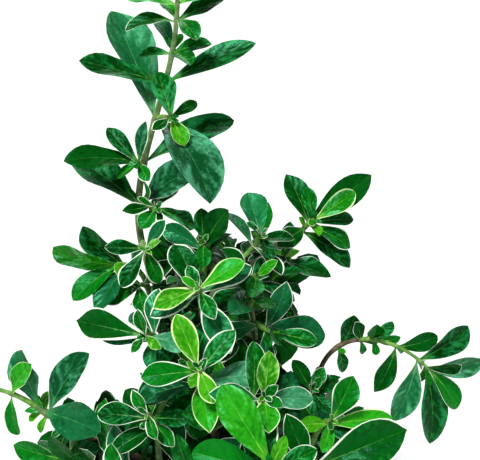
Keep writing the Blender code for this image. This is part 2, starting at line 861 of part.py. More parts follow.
def bough_line(bough, trunk):
    start = trunk.point(bough.height)
    tip = Vector(bough.tip)
    if bough.height == 1.0:
        return Path(start, tip, trunk.way(1.0), Vector(bough.aim).normalized(), bough.arch)
    chord = tip - start
    flat = Vector((chord.x, chord.y, 0)).normalized()
    lead = (flat + Vector((0, 0, 0.75))).normalized()
    away = Vector(bough.aim) if bough.aim else (tip - HEART).normalized() * 0.8
    aim = (chord.normalized() + away).normalized()
    return Path(start, tip, lead, aim, bough.arch)


def bough_start(path, bough, placed):
    """How far along its line a bough's foot stands clear of the trunk and of other boughs."""
    start = CLEAR / path.length if bough.height == 1.0 else 0.0
    for step in range(200):
        at = start + step * 0.005
        probe = tapered(path, at, 1, bough.radius + CLEAR, BOUGH_TIP_RADIUS + CLEAR, BOUGH_SIDES, BOUGH_STEPS)
        if bough.height == 1.0 or not any(probe.touches(other) for _, other in placed):
            return at
    raise ValueError(f"no clear way for the bough to {bough.tip}")


def add_node(name, points, faces, material):
    mesh = bpy.data.meshes.new(name)
    mesh.from_pydata([p * METRES for p in points], [], faces)
    mesh.materials.append(material)
    node = bpy.data.objects.new(name, mesh)
    bpy.context.scene.collection.objects.link(node)
    return node


def smooth(node, degrees):
    node.data.shade_smooth()
    node.data.set_sharp_from_angle(angle=math.radians(degrees))


def face_outwards(mesh):
    work = bmesh.new()
    work.from_mesh(mesh)
    bmesh.ops.recalc_face_normals(work, faces=work.faces)
    work.to_mesh(mesh)
    work.free()


def keep_main_shell(mesh):
    """Drops loose scraps, and fills hollows that fusing sealed, by leaving only the largest shell."""
    work = bmesh.new()
    work.from_mesh(mesh)
    bmesh.ops.triangulate(work, faces=work.faces)
    left = set(work.faces)
    shells = []
    while left:
        shell = [left.pop()]
        for face in shell:
            simple = [edge for edge in face.edges if len(edge.link_faces) == 2]
            beside = {near for edge in simple for near in edge.link_faces}
            shell += sorted(beside & left, key=lambda near: near.index)
            left -= beside
        shells.append(shell)
    largest = max(shells, key=len)
    extra = [face for shell in shells if shell is not largest for face in shell]
    bmesh.ops.delete(work, geom=extra, context="FACES")
    work.to_mesh(mesh)
    work.free()


def join_mass(name, twigs, material):
    """One closed solid of a mass: its stem, with twigs and leaves fused on."""
    stem = twigs[0]
    node = add_node(name, stem.solid.points, stem.solid.faces, material)
    face_outwards(node.data)
    parts = bpy.data.collections.new(name + "_parts")
    bpy.context.scene.collection.children.link(parts)
    solids = [twig.solid for twig in twigs[1:]]
    solids += [leaf.solid() for twig in twigs for leaf in twig.leaves]
    for solid in solids:
        piece = add_node(name + "_piece", solid.points, solid.faces, material)
        bpy.context.scene.collection.objects.unlink(piece)
        parts.objects.link(piece)
        face_outwards(piece.data)
    union = node.modifiers.new("join", "BOOLEAN")
    union.operation = "UNION"
    union.solver = "MANIFOLD"
    union.operand_type = "COLLECTION"
    union.collection = parts
    with bpy.context.temp_override(object=node, active_object=node):
        bpy.ops.object.modifier_apply(modifier=union.name)
    for piece in list(parts.objects):
        bpy.data.objects.remove(piece)
    bpy.data.collections.remove(parts)
    keep_main_shell(node.data)
    return node


def make_material(name):
    colour, roughness = COLOURS[name]
    material = bpy.data.materials.new(name)
    material.use_nodes = True
    shader = material.node_tree.nodes["Principled BSDF"]
    shader.inputs["Base Color"].default_value = (*colour, 1)
    shader.inputs["Roughness"].default_value = roughness
    shader.inputs["Metallic"].default_value = 0
    return material


def grow():
    """Places the trunk, boughs, twigs and leaves. Returns the limbs and each mass's twigs."""
    plant = Plant()
    trunk = trunk_line()
    limbs = {"trunk": plant.add("trunk", trunk_solid(trunk))}
    lines = {}
    for name, mass in MASSES.items():
        path = bough_line(mass.bough, trunk)
        start = bough_start(path, mass.bough, plant.placed)
        solid = tapered(path, start, 1, mass.bough.radius, BOUGH_TIP_RADIUS, BOUGH_SIDES, BOUGH_STEPS)
        limbs[name + "_bough"] = plant.add(name + "_bough", solid)
        lines[name] = path
    twigs = {name: [plant.grow_stem(name, mass.shoots[0], lines[name])] for name, mass in MASSES.items()}
    for name, mass in MASSES.items():
        for shoot in mass.shoots[1:]:
            twigs[name].append(plant.grow_shoot(twigs[name][0], shoot))
    for number, name in enumerate(MASSES):
        for twig in twigs[name]:
            plant.grow_leaves(twig, random.Random(SEED + number))
    for turn in range(max(mass.fill for mass in MASSES.values())):
        for number, (name, mass) in enumerate(MASSES.items()):
            dice = random.Random(SEED * 100 + turn * 50 + number)
            shoots = plant.fill_shoots(twigs[name][0], dice) if turn < mass.fill else ()
            twig = next(filter(None, (plant.grow_shoot(twigs[name][0], shoot) for shoot in shoots)), None)
            if twig:
                twigs[name].append(twig)
                plant.grow_leaves(twig, dice)
    return plant, limbs, twigs


def main():
    for thing in list(bpy.data.objects):
        bpy.data.objects.remove(thing)
    plant, limbs, twigs = grow()
    materials = {name: make_material(name) for name in COLOURS}
    for name, solid in limbs.items():
        node = add_node(name, solid.points, solid.faces, materials["bark"])
        face_outwards(node.data)
        smooth(node, 40)
    for name, group in twigs.items():
        join_mass(name, group, materials["leaf"])


if __name__ == "__main__":
    main()
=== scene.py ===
import itertools
import math
import random
from typing import NamedTuple

import bmesh
import bpy
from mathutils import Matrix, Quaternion, Vector, noise
from mathutils.bvhtree import BVHTree


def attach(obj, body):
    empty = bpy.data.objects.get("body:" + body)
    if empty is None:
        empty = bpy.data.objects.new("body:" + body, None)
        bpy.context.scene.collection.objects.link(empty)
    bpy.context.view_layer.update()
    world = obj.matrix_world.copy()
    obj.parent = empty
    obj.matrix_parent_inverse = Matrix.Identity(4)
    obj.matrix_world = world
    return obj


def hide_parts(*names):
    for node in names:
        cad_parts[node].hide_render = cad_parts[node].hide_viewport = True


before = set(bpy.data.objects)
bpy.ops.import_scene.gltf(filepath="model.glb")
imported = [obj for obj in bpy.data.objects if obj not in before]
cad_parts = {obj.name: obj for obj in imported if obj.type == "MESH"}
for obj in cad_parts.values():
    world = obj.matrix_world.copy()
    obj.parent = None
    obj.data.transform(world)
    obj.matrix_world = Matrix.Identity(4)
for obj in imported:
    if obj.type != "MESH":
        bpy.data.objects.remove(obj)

METRES = 0.001  # one millimetre
CLEAR = 0.3  # gap where one solid faces the next

# Trunk
TRUNK_TIP = (1.5, -1.0, 44.0)
TRUNK_BOW = (-2.5, 0.5, 0.0)  # how far its middle stands off the straight line
TRUNK_FOOT_RADIUS = 4.6
TRUNK_TIP_RADIUS = 3.0
FLARE = 3.4  # extra radius of the root flare at the ground
FLARE_HEIGHT = 5.0  # height in which the flare falls to a third
FLARE_LOBES = 5
TRUNK_SIDES = 15
TRUNK_STEPS = 9

# Boughs and twigs
BOUGH_SIDES = 6
BOUGH_STEPS = 6
BOUGH_TIP_RADIUS = 1.0
STEM_SIDES = 4
STEM_STEPS = 4  # at least, and one more for each of these lengths
STEP_LENGTH = 8.0
STEM_RADIUS = 0.95
TWIG_SIDES = 3
TWIG_STEPS = 3
TWIG_RADIUS = 0.7
TWIG_TIP_RADIUS = 0.45
TIP_PAIR_BACK = 0.6  # how far behind its twig's end the last pair is rooted

# Leaves
WIDTH_PLAY = 0.06  # either way, of a leaf's width as a share of its length
LENGTH_PLAY = 0.07
CURL_PLAY = 0.4
LEAF_THICKNESS = 0.025  # of the blade over its own bend, as a share of its length
LEAF_WIDEST = 0.62  # where along the leaf it is widest
LEAF_BASE = 1.5  # how slowly it widens from its root
LEAF_POINT = 0.75  # how bluntly it ends
LEAF_OUTLINE = (0.36, 0.74)  # where the solid's outline has its corners
LEAF_MIDDLE = 0.5
LEAF_TROUGH = 0.2  # how far the edges stand above the midrib, per half width
SIZE_FROM_TIP = (0.72, 0.88, 1.0, 1.08)  # a pair's leaf length, counted from the shoot's tip
SPREAD_FROM_TIP = (40, 58, 70, 78)  # a pair's angle off the twig, in degrees
LEAF_CURL = 26  # how far a leaf bends back over its length, in degrees
LARGEST_TURN = 1.5  # the most that is taken for a leaf's turn to the light, in radians
JITTER = 7  # degrees either way
PROBE_START = 0.24  # the share of a leaf, next to its root, that may touch its own twig
TRIES = (  # change of spread, change of phase and size, until a leaf touches nothing
    (0, 0, 1.0),
    (10, 0, 1.0),
    (-12, 0, 1.0),
    (0, 14, 1.0),
    (0, -14, 1.0),
    (14, 14, 0.92),
    (-16, -14, 0.92),
    (0, 26, 0.86),
    (0, -26, 0.86),
    (-26, 0, 0.8),
    (24, 0, 0.74),
)

CELL = 8.0  # of the grid that finds what stands near

# Crown
HEART = Vector((1.0, 0.0, 58.0))  # shoots aim away from here
CROWN_EDGE = (  # level, and how far to the left and right shoots may stand there
    (20, -46, 44),
    (46, -50, 40),
    (56, -44, 32),
    (66, -16, 22),
    (74, -14, 7),
    (88, -14, 7),
    (98, -16, 18),
    (112, -8, 10),
)
CROWN_DEPTH = 56.0  # how far to the front and back, at the foot of the crown
CROWN_TOP = 122.0
VIEW_FALL = 0.325  # levels drop this much for each millimetre to the back
LOWEST_TIP = 22.0
LOWEST_LEAF = 10.0
FILL_CANDIDATES = 40
FILL_REACH = (13.0, 24.0)
FILL_APART = 8.5
FILL_PAIRS = 3
FILL_LEAF = 16.5
FILL_LEAFY = 7.5
SEED = 11

# Finer growth than the solids have, in millimetres
FRONT = (  # masses whose leaves are set one by one, where finer twigs grow behind only
    "leader",
    "crown_front",
    "crown_right",
    "right_high",
    "right_arch",
    "left_high",
    "left_mid",
    "left_low",
    "front_left",
    "front_mid",
    "front_low",
    "front_right",
)
INNER_SHOOTS = 9  # along each bough
INNER_TRIES = 10
INNER_REACH = (7.0, 14.0)
INNER_LEAF = (13.0, 18.0)
INNER_PAIRS = 3
SHADED_RIM = 0.25
FILLING = 5  # shaded shoots off each stem
FILLING_APART = 6.0
FILLING_LEAF = 18.0
FINE_TWIGS = 3
FINE_TWIGS_AT_FRONT = 2
FINE_TRIES = 3
FINE_REACH = (7.0, 13.0)
FINE_PAIRS = 2
FINE_LEAFY = 3.0
FINE_LEAF = (11.0, 16.0)
BUD_LEAF = (2.2, 3.6)
BUD_SPREAD = 22
SPRIG_LEAF = (3.6, 7.0)
SPRIG_CHANCE = 0.15
SPRIG_SPREAD = (24, 52)

OPENINGS = (  # the photo's open places, as left, top, right and bottom in its own pixels
    (0, 100, 50, 345),
    (85, 340, 142, 398),
    (188, 196, 218, 216),
    (238, 222, 252, 242),
    (240, 0, 480, 165),
    (290, 345, 340, 370),
    (302, 287, 400, 312),
    (330, 250, 400, 290),
)

# Leaf blades, in millimetres
SMALL_LEAF = 8.0  # shorter leaves have no midrib, except those set one by one
FINE_STATIONS = (0.0, 0.07, 0.15, 0.24, 0.33, 0.42, 0.51, 0.6, 0.68, 0.76, 0.84, 0.91, 0.965, 1.0)
STATIONS = (0.0, 0.14, 0.34, 0.55, 0.74, 0.9, 1.0)
SMALL_STATIONS = (0.0, 0.2, 0.44, 0.66, 0.86, 1.0)
BLADE_CUP = (0.16, 0.5)  # rise of the edges over the middle, per half width
BLADE_CREASE = 1.3  # 1 for two flat halves, 2 for a smooth hollow
BLADE_RIPPLE = 0.2
BLADE_TWIST = 12  # degrees either way
BLADE_WIDEST = (0.55, 0.64)
BLADE_POINT = (0.68, 1.0)
BLADE_THICKNESS = 0.2
STALK_RADIUS = 0.22
MARGIN_WIDTH = 0.37
RIM_RANGE = (0.15, 1.0)
PLAIN_RIM = 0.2  # leaves with less of a margin show none
RIB_WIDTH = 0.17
RIB_LEAST = 0.02
RIB_END = 0.82  # share of the leaf that the midrib reaches
RIB_RELIEF = 0.12

# Wood, in millimetres
LEVEL_FOOT = 0.3  # share of the trunk in which its rings turn from level to square
TRUNK_FACETS = 60
TRUNK_RINGS = 70
TRUNK_RELIEF = 0.42
BOUGH_FACETS = 12
BOUGH_RINGS = 26
BOUGH_RELIEF = 0.16
COLLAR = 3.0  # how far a bough's foot runs back into its trunk
COLLAR_SWELL = 0.3
BARK_SHARP_EDGE = 70
TWIG_FACETS = 7
TWIG_RING_GAP = 1.0
TWIG_ROOT = 0.6
NODE_SWELL = 0.25
NODE_LENGTH = 0.7
STEM_WOOD = (0.25, 0.6)  # shares of a mass's stem where brown and olive end
TWIG_WOOD = (0.0, 0.35)
BRISTLES = 4
BRISTLE = (0.7, 1.6)
BRISTLE_RADIUS = 0.06
SHARP_EDGE = 50
WELD = 0.000002  # metres
PIECE_FACES = 75000  # of one joined mesh of leaves

TONES = {  # upper face, patches on it, its palest patches (painted highlights), underside, midrib
    "deep": (
        (0.0003, 0.032, 0.001), (0.001, 0.080, 0.004), (0.014, 0.210, 0.052), (0.004, 0.100, 0.010),
        (0.080, 0.330, 0.045),
    ),
    "mid": (
        (0.0006, 0.078, 0.002), (0.003, 0.180, 0.007), (0.040, 0.400, 0.110), (0.010, 0.170, 0.016),
        (0.140, 0.450, 0.060),
    ),
    "blue": (
        (0.001, 0.056, 0.011), (0.006, 0.130, 0.036), (0.070, 0.330, 0.175), (0.016, 0.200, 0.050),
        (0.090, 0.360, 0.120),
    ),
    "grey": (
        (0.004, 0.105, 0.026), (0.013, 0.205, 0.058), (0.090, 0.380, 0.190), (0.032, 0.250, 0.080),
        (0.160, 0.440, 0.180),
    ),
    # pale: a lighter copy of grey, partly the leaf's own paler green and partly painted light, so that leaves
    # standing in shade read as lit
    "pale": (
        (0.026, 0.190, 0.075), (0.055, 0.290, 0.130), (0.170, 0.460, 0.290), (0.060, 0.280, 0.120),
        (0.200, 0.460, 0.240),
    ),
    "fresh": (
        (0.006, 0.165, 0.001), (0.026, 0.360, 0.008), (0.180, 0.650, 0.300), (0.032, 0.290, 0.010),
        (0.190, 0.540, 0.040),
    ),
    "lime": (
        (0.016, 0.200, 0.002), (0.066, 0.380, 0.006), (0.280, 0.660, 0.120), (0.080, 0.360, 0.014),
        (0.300, 0.640, 0.090),
    ),
}
YOUNG = ("fresh", "lime")
LEAF_SHEEN = (0.2, 1.0, 0.55)  # colour of their highlights
VEINS = 7  # pairs of side veins on a leaf
VEIN_SLANT = 10.0
STREAKS = 6.0  # patches along a leaf
STREAK_SLANT = 1.3
STREAKS_ACROSS = 1.9
EDGE_PAINTED_HIGHLIGHT = 0.16  # how much likelier the painted highlights are at a leaf's edges
LEAF_RELIEF = 0.00016  # metres
LEAF_GLOSS = {  # roughness, and level of the specular
    "deep": (0.1, 0.16),
    "mid": (0.1, 0.16),
    "blue": (0.1, 0.3),
    "grey": (0.2, 0.25),
    "pale": (0.25, 0.25),
    "fresh": (0.12, 0.2),
    "lime": (0.16, 0.16),
}
TONES_FROM_TIP = (  # how likely each tone is, for a pair counted from its shoot's tip
    (("fresh", 4), ("mid", 6), ("lime", 1), ("deep", 1)),
    (("mid", 5), ("deep", 6), ("fresh", 1), ("blue", 2)),
    (("deep", 8), ("mid", 3), ("blue", 2), ("grey", 1)),
)
# painted shade: shoots inside the crown take the old dark greens from the tip on, standing in for its shade
SHADED_TONES = (("deep", 8), ("mid", 3), ("blue", 1))
SMALL_TONES = ("lime", "fresh", "mid", "mid", "mid")
SKINS = {  # colour, second colour, roughness, patches per metre, relief in metres
    "cream margin": ((0.89, 0.95, 0.85), (0.79, 0.92, 0.70), 0.5, 900, 0.00005),
    "young margin": ((0.76, 0.88, 0.50), (0.58, 0.82, 0.28), 0.5, 900, 0.00005),
    "bristle": ((0.22, 0.15, 0.13), (0.12, 0.08, 0.07), 0.7, 2500, 0.00003),
    "bark": ((0.11, 0.075, 0.05), (0.26, 0.20, 0.15), 0.8, 420, 0.0004),
    "brown twig": ((0.09, 0.06, 0.035), (0.20, 0.15, 0.09), 0.75, 700, 0.0002),
    "olive twig": ((0.08, 0.15, 0.045), (0.17, 0.28, 0.10), 0.65, 700, 0.0001),
    "green twig": ((0.09, 0.24, 0.03), (0.19, 0.40, 0.08), 0.55, 700, 0.0001),
}

# Camera and stage
PHOTO_SIZE = (480, 460)
FOCAL_PIXELS = 983.0
CAMERA_TARGET = (5.0, 0.0, 117.0)  # millimetres
CAMERA_DISTANCE = 255.0
CAMERA_FALL = 18.0  # degrees that it looks down
FLOOR_SIZE = 40.0  # metres
SKY_COLOUR = (0.96, 0.98, 1.0)
SKY_STRENGTH = 0.33
LIGHTS = {  # way that it shines, spread in degrees, strength, colour
    "key": ((0.3, 0.58, -1.0), 15, 3.5, (1.0, 1.0, 0.97)),
    "back panel": ((-0.1, -1.0, -0.9), 30, 0.8, (0.94, 0.98, 1.0)),
}


class Bough(NamedTuple):
    """A limb from the trunk to the start of a mass of foliage."""

    height: float  # where it leaves the trunk, as a share of the trunk's length
    tip: tuple
    arch: float  # how far its middle rises over the straight line
    radius: float
    aim: tuple = None  # which way the tip points, or away from the heart


class Pair(NamedTuple):
    """Two leaves across a twig from each other, for twigs whose leaves are set one by one."""

    at: float  # share of the twig
    turn: float  # of the first leaf about the twig, in degrees
    lengths: tuple  # of the first leaf and the second, where 0 leaves it out
    spreads: tuple  # of each off the twig, in degrees
    curls: tuple = (LEAF_CURL, LEAF_CURL)  # how far each bends back
    widths: tuple = (0.42, 0.42)  # shares of their lengths
    rolls: tuple = (0, 0)  # further turn of each about its own length, in degrees
    loose: float = 0.0  # how much of the dice's play it takes
    tones: tuple = (None, None)
    rims: tuple = (None, None)  # how broad their pale margins are, or by the dice


class Shoot(NamedTuple):
    """A leafy twig. The first of a mass is its stem, and the others leave that stem."""

    tip: tuple
    roll: float = 0.0  # turn of the tip's pair of leaves about the twig, in degrees
    at: float = 0.0  # share of the stem where it leaves
    pairs: object = 3  # how many, or each Pair
    leafy: float = 7.0  # length that the pairs are spread over, back from the tip
    leaf: float = 14.0
    aim: tuple = None  # which way the tip points, or away from the heart
    arch: float = 0.0
    light: tuple = None  # where its leaves turn their faces, or away from the heart
    lit: float = 0.55  # share of that turn which they make
    rim: float = 0.7  # how broad its leaves' pale margins are
    wood: tuple = None  # shares of it where brown and olive end
    tones: tuple = ()  # of its leaves from the tip back, where they aren't by the dice
    shaded: bool = False  # whether its leaves are all old and dark, greens that also paint the shade inside the crown
    girth: float = 1.0  # of its wood, as a share of what is usual


class Mass(NamedTuple):
    bough: Bough
    shoots: tuple
    fill: int = 0  # further shoots, placed where the crown is thinnest


MASSES = {
    "leader": Mass(
        Bough(1.0, (-19.3, -1, 109), 0, 2.6, (-0.3, 0, 1)),
        (
            Shoot(
                (-10.3, -1, 181),
                aim=(-0.1, 0, 1),
                light=(0.1, -1, 0.4),
                rim=0.35,
                wood=(0.0, 1.0),
                pairs=(
                    Pair(0.20, 162, (23, 19.5), (50, 40), widths=(0.42, 0.5), tones=("deep", "blue")),
                    Pair(0.36, 200, (20.5, 26), (83, 43), widths=(0.33, 0.32), tones=("deep", "deep")),
                    Pair(
                        0.52, 140, (32, 28), (42, 92), (16, 50),
                        widths=(0.38, 0.46), tones=("grey", "blue"),
                    ),
                    Pair(0.65, 185, (21.5, 24.5), (88, 46), (4, 10), (0.3, 0.28), tones=("deep", "deep")),
                    Pair(0.75, 170, (8.5, 10.5), (95, 50), widths=(0.42, 0.44), tones=("mid", "mid")),
                    Pair(0.76, 122, (13, 10), (48, 84), widths=(0.3, 0.5), tones=("grey", "mid")),
                    Pair(
                        0.855, 195, (13, 13), (74, 51), (60, 20),
                        widths=(0.32, 0.4), tones=("deep", "deep"),
                    ),
                    Pair(
                        0.865, 308, (10, 9), (91, 50), (40, 26),
                        widths=(0.5, 0.36), tones=("mid", "fresh"),
                    ),
                    Pair(0.91, 185, (13, 12), (71, 56), widths=(0.46, 0.5), tones=("fresh", "fresh")),
                    Pair(0.985, 95, (8, 8), (28, 28), tones=("lime", "fresh")),
                ),
            ),
            Shoot(
                (-18, -17, 117.5),
                at=0.04,
                aim=(0.1, -1, 0.2),
                pairs=(
                    Pair(0.99, 145, (11, 9), (66, 66), tones=("deep", "blue"), rims=(0.6, 0.6)),
                    Pair(0.9, 85, (10, 0), (72, 0), tones=("deep", "deep"), rims=(0.3, 0)),
                    Pair(0.89, 200, (9.5, 0), (72, 0), tones=("mid", "deep"), rims=(0.6, 0)),
                ),
            ),
            Shoot(
                (-16, -5, 124.5),
                at=0.2,
                aim=(0.3, -1, 0.3),
                rim=0.7,
                pairs=(
                    Pair(0.99, 238, (12, 6), (70, 70), widths=(0.5, 0.42), tones=("mid", "mid")),
                    Pair(
                        0.97, 132, (7, 12), (66, 84),
                        widths=(0.66, 0.42), tones=("mid", "blue"), rims=(0.3, 0.4),
                    ),
                    Pair(0.5, 310, (11, 0), (60, 0), tones=("blue", "blue")),
                    Pair(0.6, 95, (8, 0), (92, 0), tones=("deep", "deep")),
                    Pair(0.4, 42, (10, 0), (66, 0), widths=(0.3, 0), tones=("mid", "mid")),
                ),
            ),
            Shoot(
                (-20.5, -4, 136),
                at=0.36,
                aim=(-0.2, -1, 0.4),
                rim=0.4,
                pairs=(
                    Pair(0.99, 50, (12.5, 7), (80, 60), widths=(0.36, 0.5), tones=("deep", "mid")),
                    Pair(
                        0.7, 345, (11.5, 0), (66, 0),
                        widths=(0.3, 0), rolls=(50, 0), tones=("blue", "blue"),
                    ),
                    Pair(0.9, 105, (8, 0), (60, 0), widths=(0.5, 0), tones=("mid", "mid")),
                ),
            ),
            Shoot(
                (-11.5, -6, 147.5),
                at=0.52,
                aim=(0.2, -1, 0.2),
                rim=0.5,
                pairs=(
                    Pair(0.99, 15, (12, 10), (75, 70), widths=(0.48, 0.56), tones=("mid", "lime")),
                    Pair(0.7, 110, (6.5, 9), (66, 76), widths=(0.46, 0.36), tones=("deep", "deep")),
                ),
            ),
        ),
        0,
    ),
    "crown_front": Mass(
        Bough(0.86, (-3, -13, 90), 4, 2.0),
        (
            Shoot(
                (-4.5, -31, 113),
                aim=(0, -0.8, 0.6),
                rim=1.3,
                pairs=(
                    Pair(0.99, 118, (12, 12.5), (62, 62), tones=("lime", "fresh"), rims=(0.9, 0.7)),
                    Pair(0.93, 27, (11.5, 9), (66, 60), tones=("deep", "mid"), rims=(0.1, 0.3)),
                    Pair(0.87, 298, (14, 13), (74, 74), tones=("blue", "blue"), rims=(1.1, 1.0)),
                    Pair(0.8, 28, (15, 16), (76, 78), tones=("deep", "grey"), rims=(0.8, 1.1)),
                ),
            ),
            Shoot(
                (-4, -13, 118),
                at=0.4,
                aim=(-0.1, -0.7, 0.7),
                light=(0, -1, 0.4),
                lit=0.85,
                pairs=(
                    Pair(0.99, 10, (10, 9), (66, 60), tones=("deep", "mid"), rims=(0.1, 0.2)),
                    Pair(
                        0.85, 345, (13.5, 12), (18, 50),
                        widths=(0.48, 0.42), tones=("deep", "blue"), rims=(0.1, 0.3),
                    ),
                    Pair(0.7, 340, (13, 14), (75, 75), tones=("deep", "deep"), rims=(0.4, 0.1)),
                ),
            ),
            Shoot(
                (10.2, -15, 120.5),
                at=0.5,
                aim=(0.1, -0.8, 0.6),
                pairs=(
                    Pair(
                        0.99, 10, (11.5, 8), (66, 60),
                        widths=(0.62, 0.42), tones=("grey", "deep"), rims=(0.1, 0.2),
                    ),
                    Pair(0.9, 70, (0, 10), (0, 66), tones=("mid", "deep"), rims=(0, 0.3)),
                    Pair(0.8, 320, (13, 11), (76, 76), tones=("blue", "deep"), rims=(0.3, 0.7)),
                ),
            ),
        ),
        2,
    ),
    "crown_right": Mass(
        Bough(0.8, (8, -10, 86), 5, 1.9),
        (
            Shoot((9, -20, 112), 130, pairs=3, leafy=7, leaf=14, aim=(0.5, -0.7, 0.4), rim=0.6),
            Shoot(
                (13, -28, 100.5),
                72,
                at=0.3,
                pairs=3,
                leafy=7,
                leaf=17,
                aim=(0.8, -0.6, 0),
                rim=0.5,
                tones=("deep", "mid", "blue", "blue"),
            ),
        ),
        2,
    ),
    "right_high": Mass(
        Bough(0.9, (12, 0, 98), 4, 1.9),
        (
            Shoot(
                (24, -5, 121.5),
                aim=(0.4, -0.8, 0.5),
                light=(0.1, -1, 0.6),
                rim=0.5,
                pairs=(
                    Pair(
                        0.99, 292, (14, 5), (66, 40),
                        widths=(0.36, 0.42), tones=("fresh", "fresh"), rims=(0.6, 0.3),
                    ),
                    Pair(0.95, 2, (9, 0), (62, 0), tones=("mid", "deep"), rims=(0.1, 0)),
                    Pair(
                        0.88, 3, (14.5, 0), (72, 0),
                        widths=(0.46, 0), tones=("deep", "deep"), rims=(0.3, 0),
                    ),
                    Pair(0.87, 50, (0, 13.5), (0, 80), widths=(0, 0.38), tones=("mid", "mid"), rims=(0, 0.4)),
                    Pair(
                        0.8, 280, (24.5, 13), (38, 76),
                        widths=(0.31, 0.42), tones=("deep", "deep"), rims=(0.1, 0.3),
                    ),
                    Pair(
                        0.93, 262, (12.5, 0), (72, 0),
                        widths=(0.3, 0), tones=("deep", "deep"), rims=(0.1, 0),
                    ),
                    Pair(0.74, 202, (16, 0), (78, 0), tones=("deep", "deep"), rims=(0.2, 0)),
                ),
            ),
            Shoot(
                (10, -2, 115),
                355,
                at=0.2,
                pairs=2,
                leafy=3,
                leaf=14,
                aim=(-0.1, -0.7, 0.7),
                rim=0.4,
                tones=("mid", "deep", "deep", "deep"),
            ),
            Shoot(
                (16, -6, 111),
                at=0.3,
                aim=(0.4, -0.8, 0.2),
                rim=0.3,
                pairs=(
                    Pair(0.99, 243, (13.3, 11), (50, 50), widths=(0.48, 0.42), tones=("deep", "mid")),
                    Pair(0.9, 330, (11, 15), (58, 58), tones=("deep", "deep")),
                ),
            ),
        ),
        0,
    ),
    "right_arch": Mass(
        Bough(0.7, (25.5, -14, 84), 6, 1.7, (0.1, -0.1, 1)),
        (
            Shoot(
                (52.5, -20, 86.5),
                aim=(0.85, -0.05, -0.5),
                arch=3.6,
                light=(0.1, -1, 0.5),
                lit=0.9,
                rim=0.3,
                wood=(0.42, 0.42),
                girth=0.68,
                pairs=(
                    Pair(0.24, 10, (10, 0), (18, 0), widths=(0.52, 0), tones=("deep", "mid")),
                    Pair(0.22, 190, (7.5, 0), (110, 0), tones=("mid", "mid")),
                    Pair(0.42, 10, (7, 4), (76, 80), widths=(0.46, 0.5), tones=("deep", "mid")),
                    Pair(0.5, 35, (7.5, 0), (62, 0), widths=(0.56, 0), tones=("mid", "mid")),
                    Pair(0.52, 350, (7, 4), (36, 60), widths=(0.5, 0.5), tones=("mid", "mid")),
                    Pair(0.54, 345, (6.5, 0), (4, 0), tones=("mid", "mid")),
                    Pair(0.7, 335, (11, 12.5), (25, 80), tones=("deep", "deep")),
                    Pair(0.88, 345, (15.5, 17), (60, 60), widths=(0.42, 0.46), tones=("deep", "grey")),
                    Pair(0.985, 5, (14, 13.5), (49, -6), widths=(0.5, 0.42), tones=("grey", "mid")),
                    Pair(0.95, 30, (10, 0), (54, 0), tones=("deep", "deep")),
                    Pair(0.95, 176, (21.5, 0), (16, 0), widths=(0.34, 0), tones=("deep", "mid")),
                ),
            ),
        ),
        0,
    ),
    "left_high": Mass(
        Bough(0.82, (-15, -5, 89), 4, 1.9),
        (
            Shoot(
                (-25, -12, 112),
                aim=(-0.9, -0.3, 0.1),
                light=(0, -1, 0.5),
                rim=0.6,
                pairs=(
                    Pair(
                        0.99, 5, (18, 15), (-2, 28),
                        widths=(0.45, 0.42), tones=("fresh", "mid"), rims=(0.1, 0.1),
                    ),
                    Pair(
                        0.9, 30, (15.5, 15), (13, 44),
                        widths=(0.48, 0.42), tones=("deep", "blue"), rims=(0.4, 0.1),
                    ),
                    Pair(0.8, 340, (8, 13), (40, 66), tones=("blue", "mid")),
                ),
            ),
            Shoot((-20, -17, 108), 30, at=0.5, pairs=2, leafy=4, leaf=13, aim=(-0.2, -1, 0.2)),
        ),
        1,
    ),
    "left_mid": Mass(
        Bough(0.74, (-11, -16, 80), 5, 1.8),
        (
            Shoot(
                (-17, -33, 102),
                aim=(-0.4, -0.9, 0.2),
                pairs=(
                    Pair(0.99, 10, (7.5, 0), (50, 0), tones=("mid", "mid"), rims=(0.5, 0)),
                    Pair(0.98, 325, (0, 5.5), (0, 70), tones=("mid", "mid")),
                    Pair(
                        0.9, 87, (20.2, 11), (78, 70),
                        widths=(0.38, 0.42), tones=("deep", "pale"), rims=(1.5, 0.1),
                    ),
                    Pair(0.8, 185, (8, 12), (75, 70), tones=("grey", "blue"), rims=(0.1, 0.6)),
                    Pair(
                        0.7, 90, (15, 13), (80, 75),
                        widths=(0.3, 0.42), tones=("grey", "pale"), rims=(0.1, 0.1),
                    ),
                    Pair(0.6, 45, (13, 0), (76, 0), tones=("blue", "blue"), rims=(0.1, 0)),
                ),
            ),
        ),
        2,
    ),
    "left_low": Mass(
        Bough(0.6, (-32, -20, 66.5), 5, 1.8, (-0.8, -0.1, 0.5)),
        (
            Shoot(
                (-56, -21, 82),
                aim=(-0.85, -0.1, 0.5),
                arch=2.0,
                light=(0, -1, 0.5),
                lit=0.8,
                rim=0.6,
                pairs=(
                    Pair(0.25, 20, (4.5, 13), (88, 112), tones=("lime", "deep"), rims=(0.4, 0.1)),
                    Pair(0.27, 200, (4.5, 0), (60, 0), tones=("mid", "mid")),
                    Pair(
                        0.46, 8, (19.5, 5.5), (74, 90),
                        widths=(0.4, 0.42), tones=("blue", "lime"), rims=(0.25, 0.3),
                    ),
                    Pair(0.5, 314, (20.5, 0), (116, 0), tones=("blue", "deep"), rims=(0.1, 0)),
                    Pair(
                        0.51, 0, (17.5, 5), (26, 60),
                        widths=(0.48, 0.42), tones=("grey", "lime"), rims=(0.1, 0.3),
                    ),
                    Pair(0.48, 60, (6, 0), (50, 0), tones=("lime", "lime"), rims=(0.5, 0)),
                    Pair(0.84, 180, (11.5, 12), (105, 84), tones=("mid", "fresh"), rims=(0.7, 0.3)),
                    Pair(0.97, 30, (12, 11), (50, 50), tones=("mid", "mid")),
                ),
            ),
            Shoot(
                (-39, -28, 66),
                at=0.1,
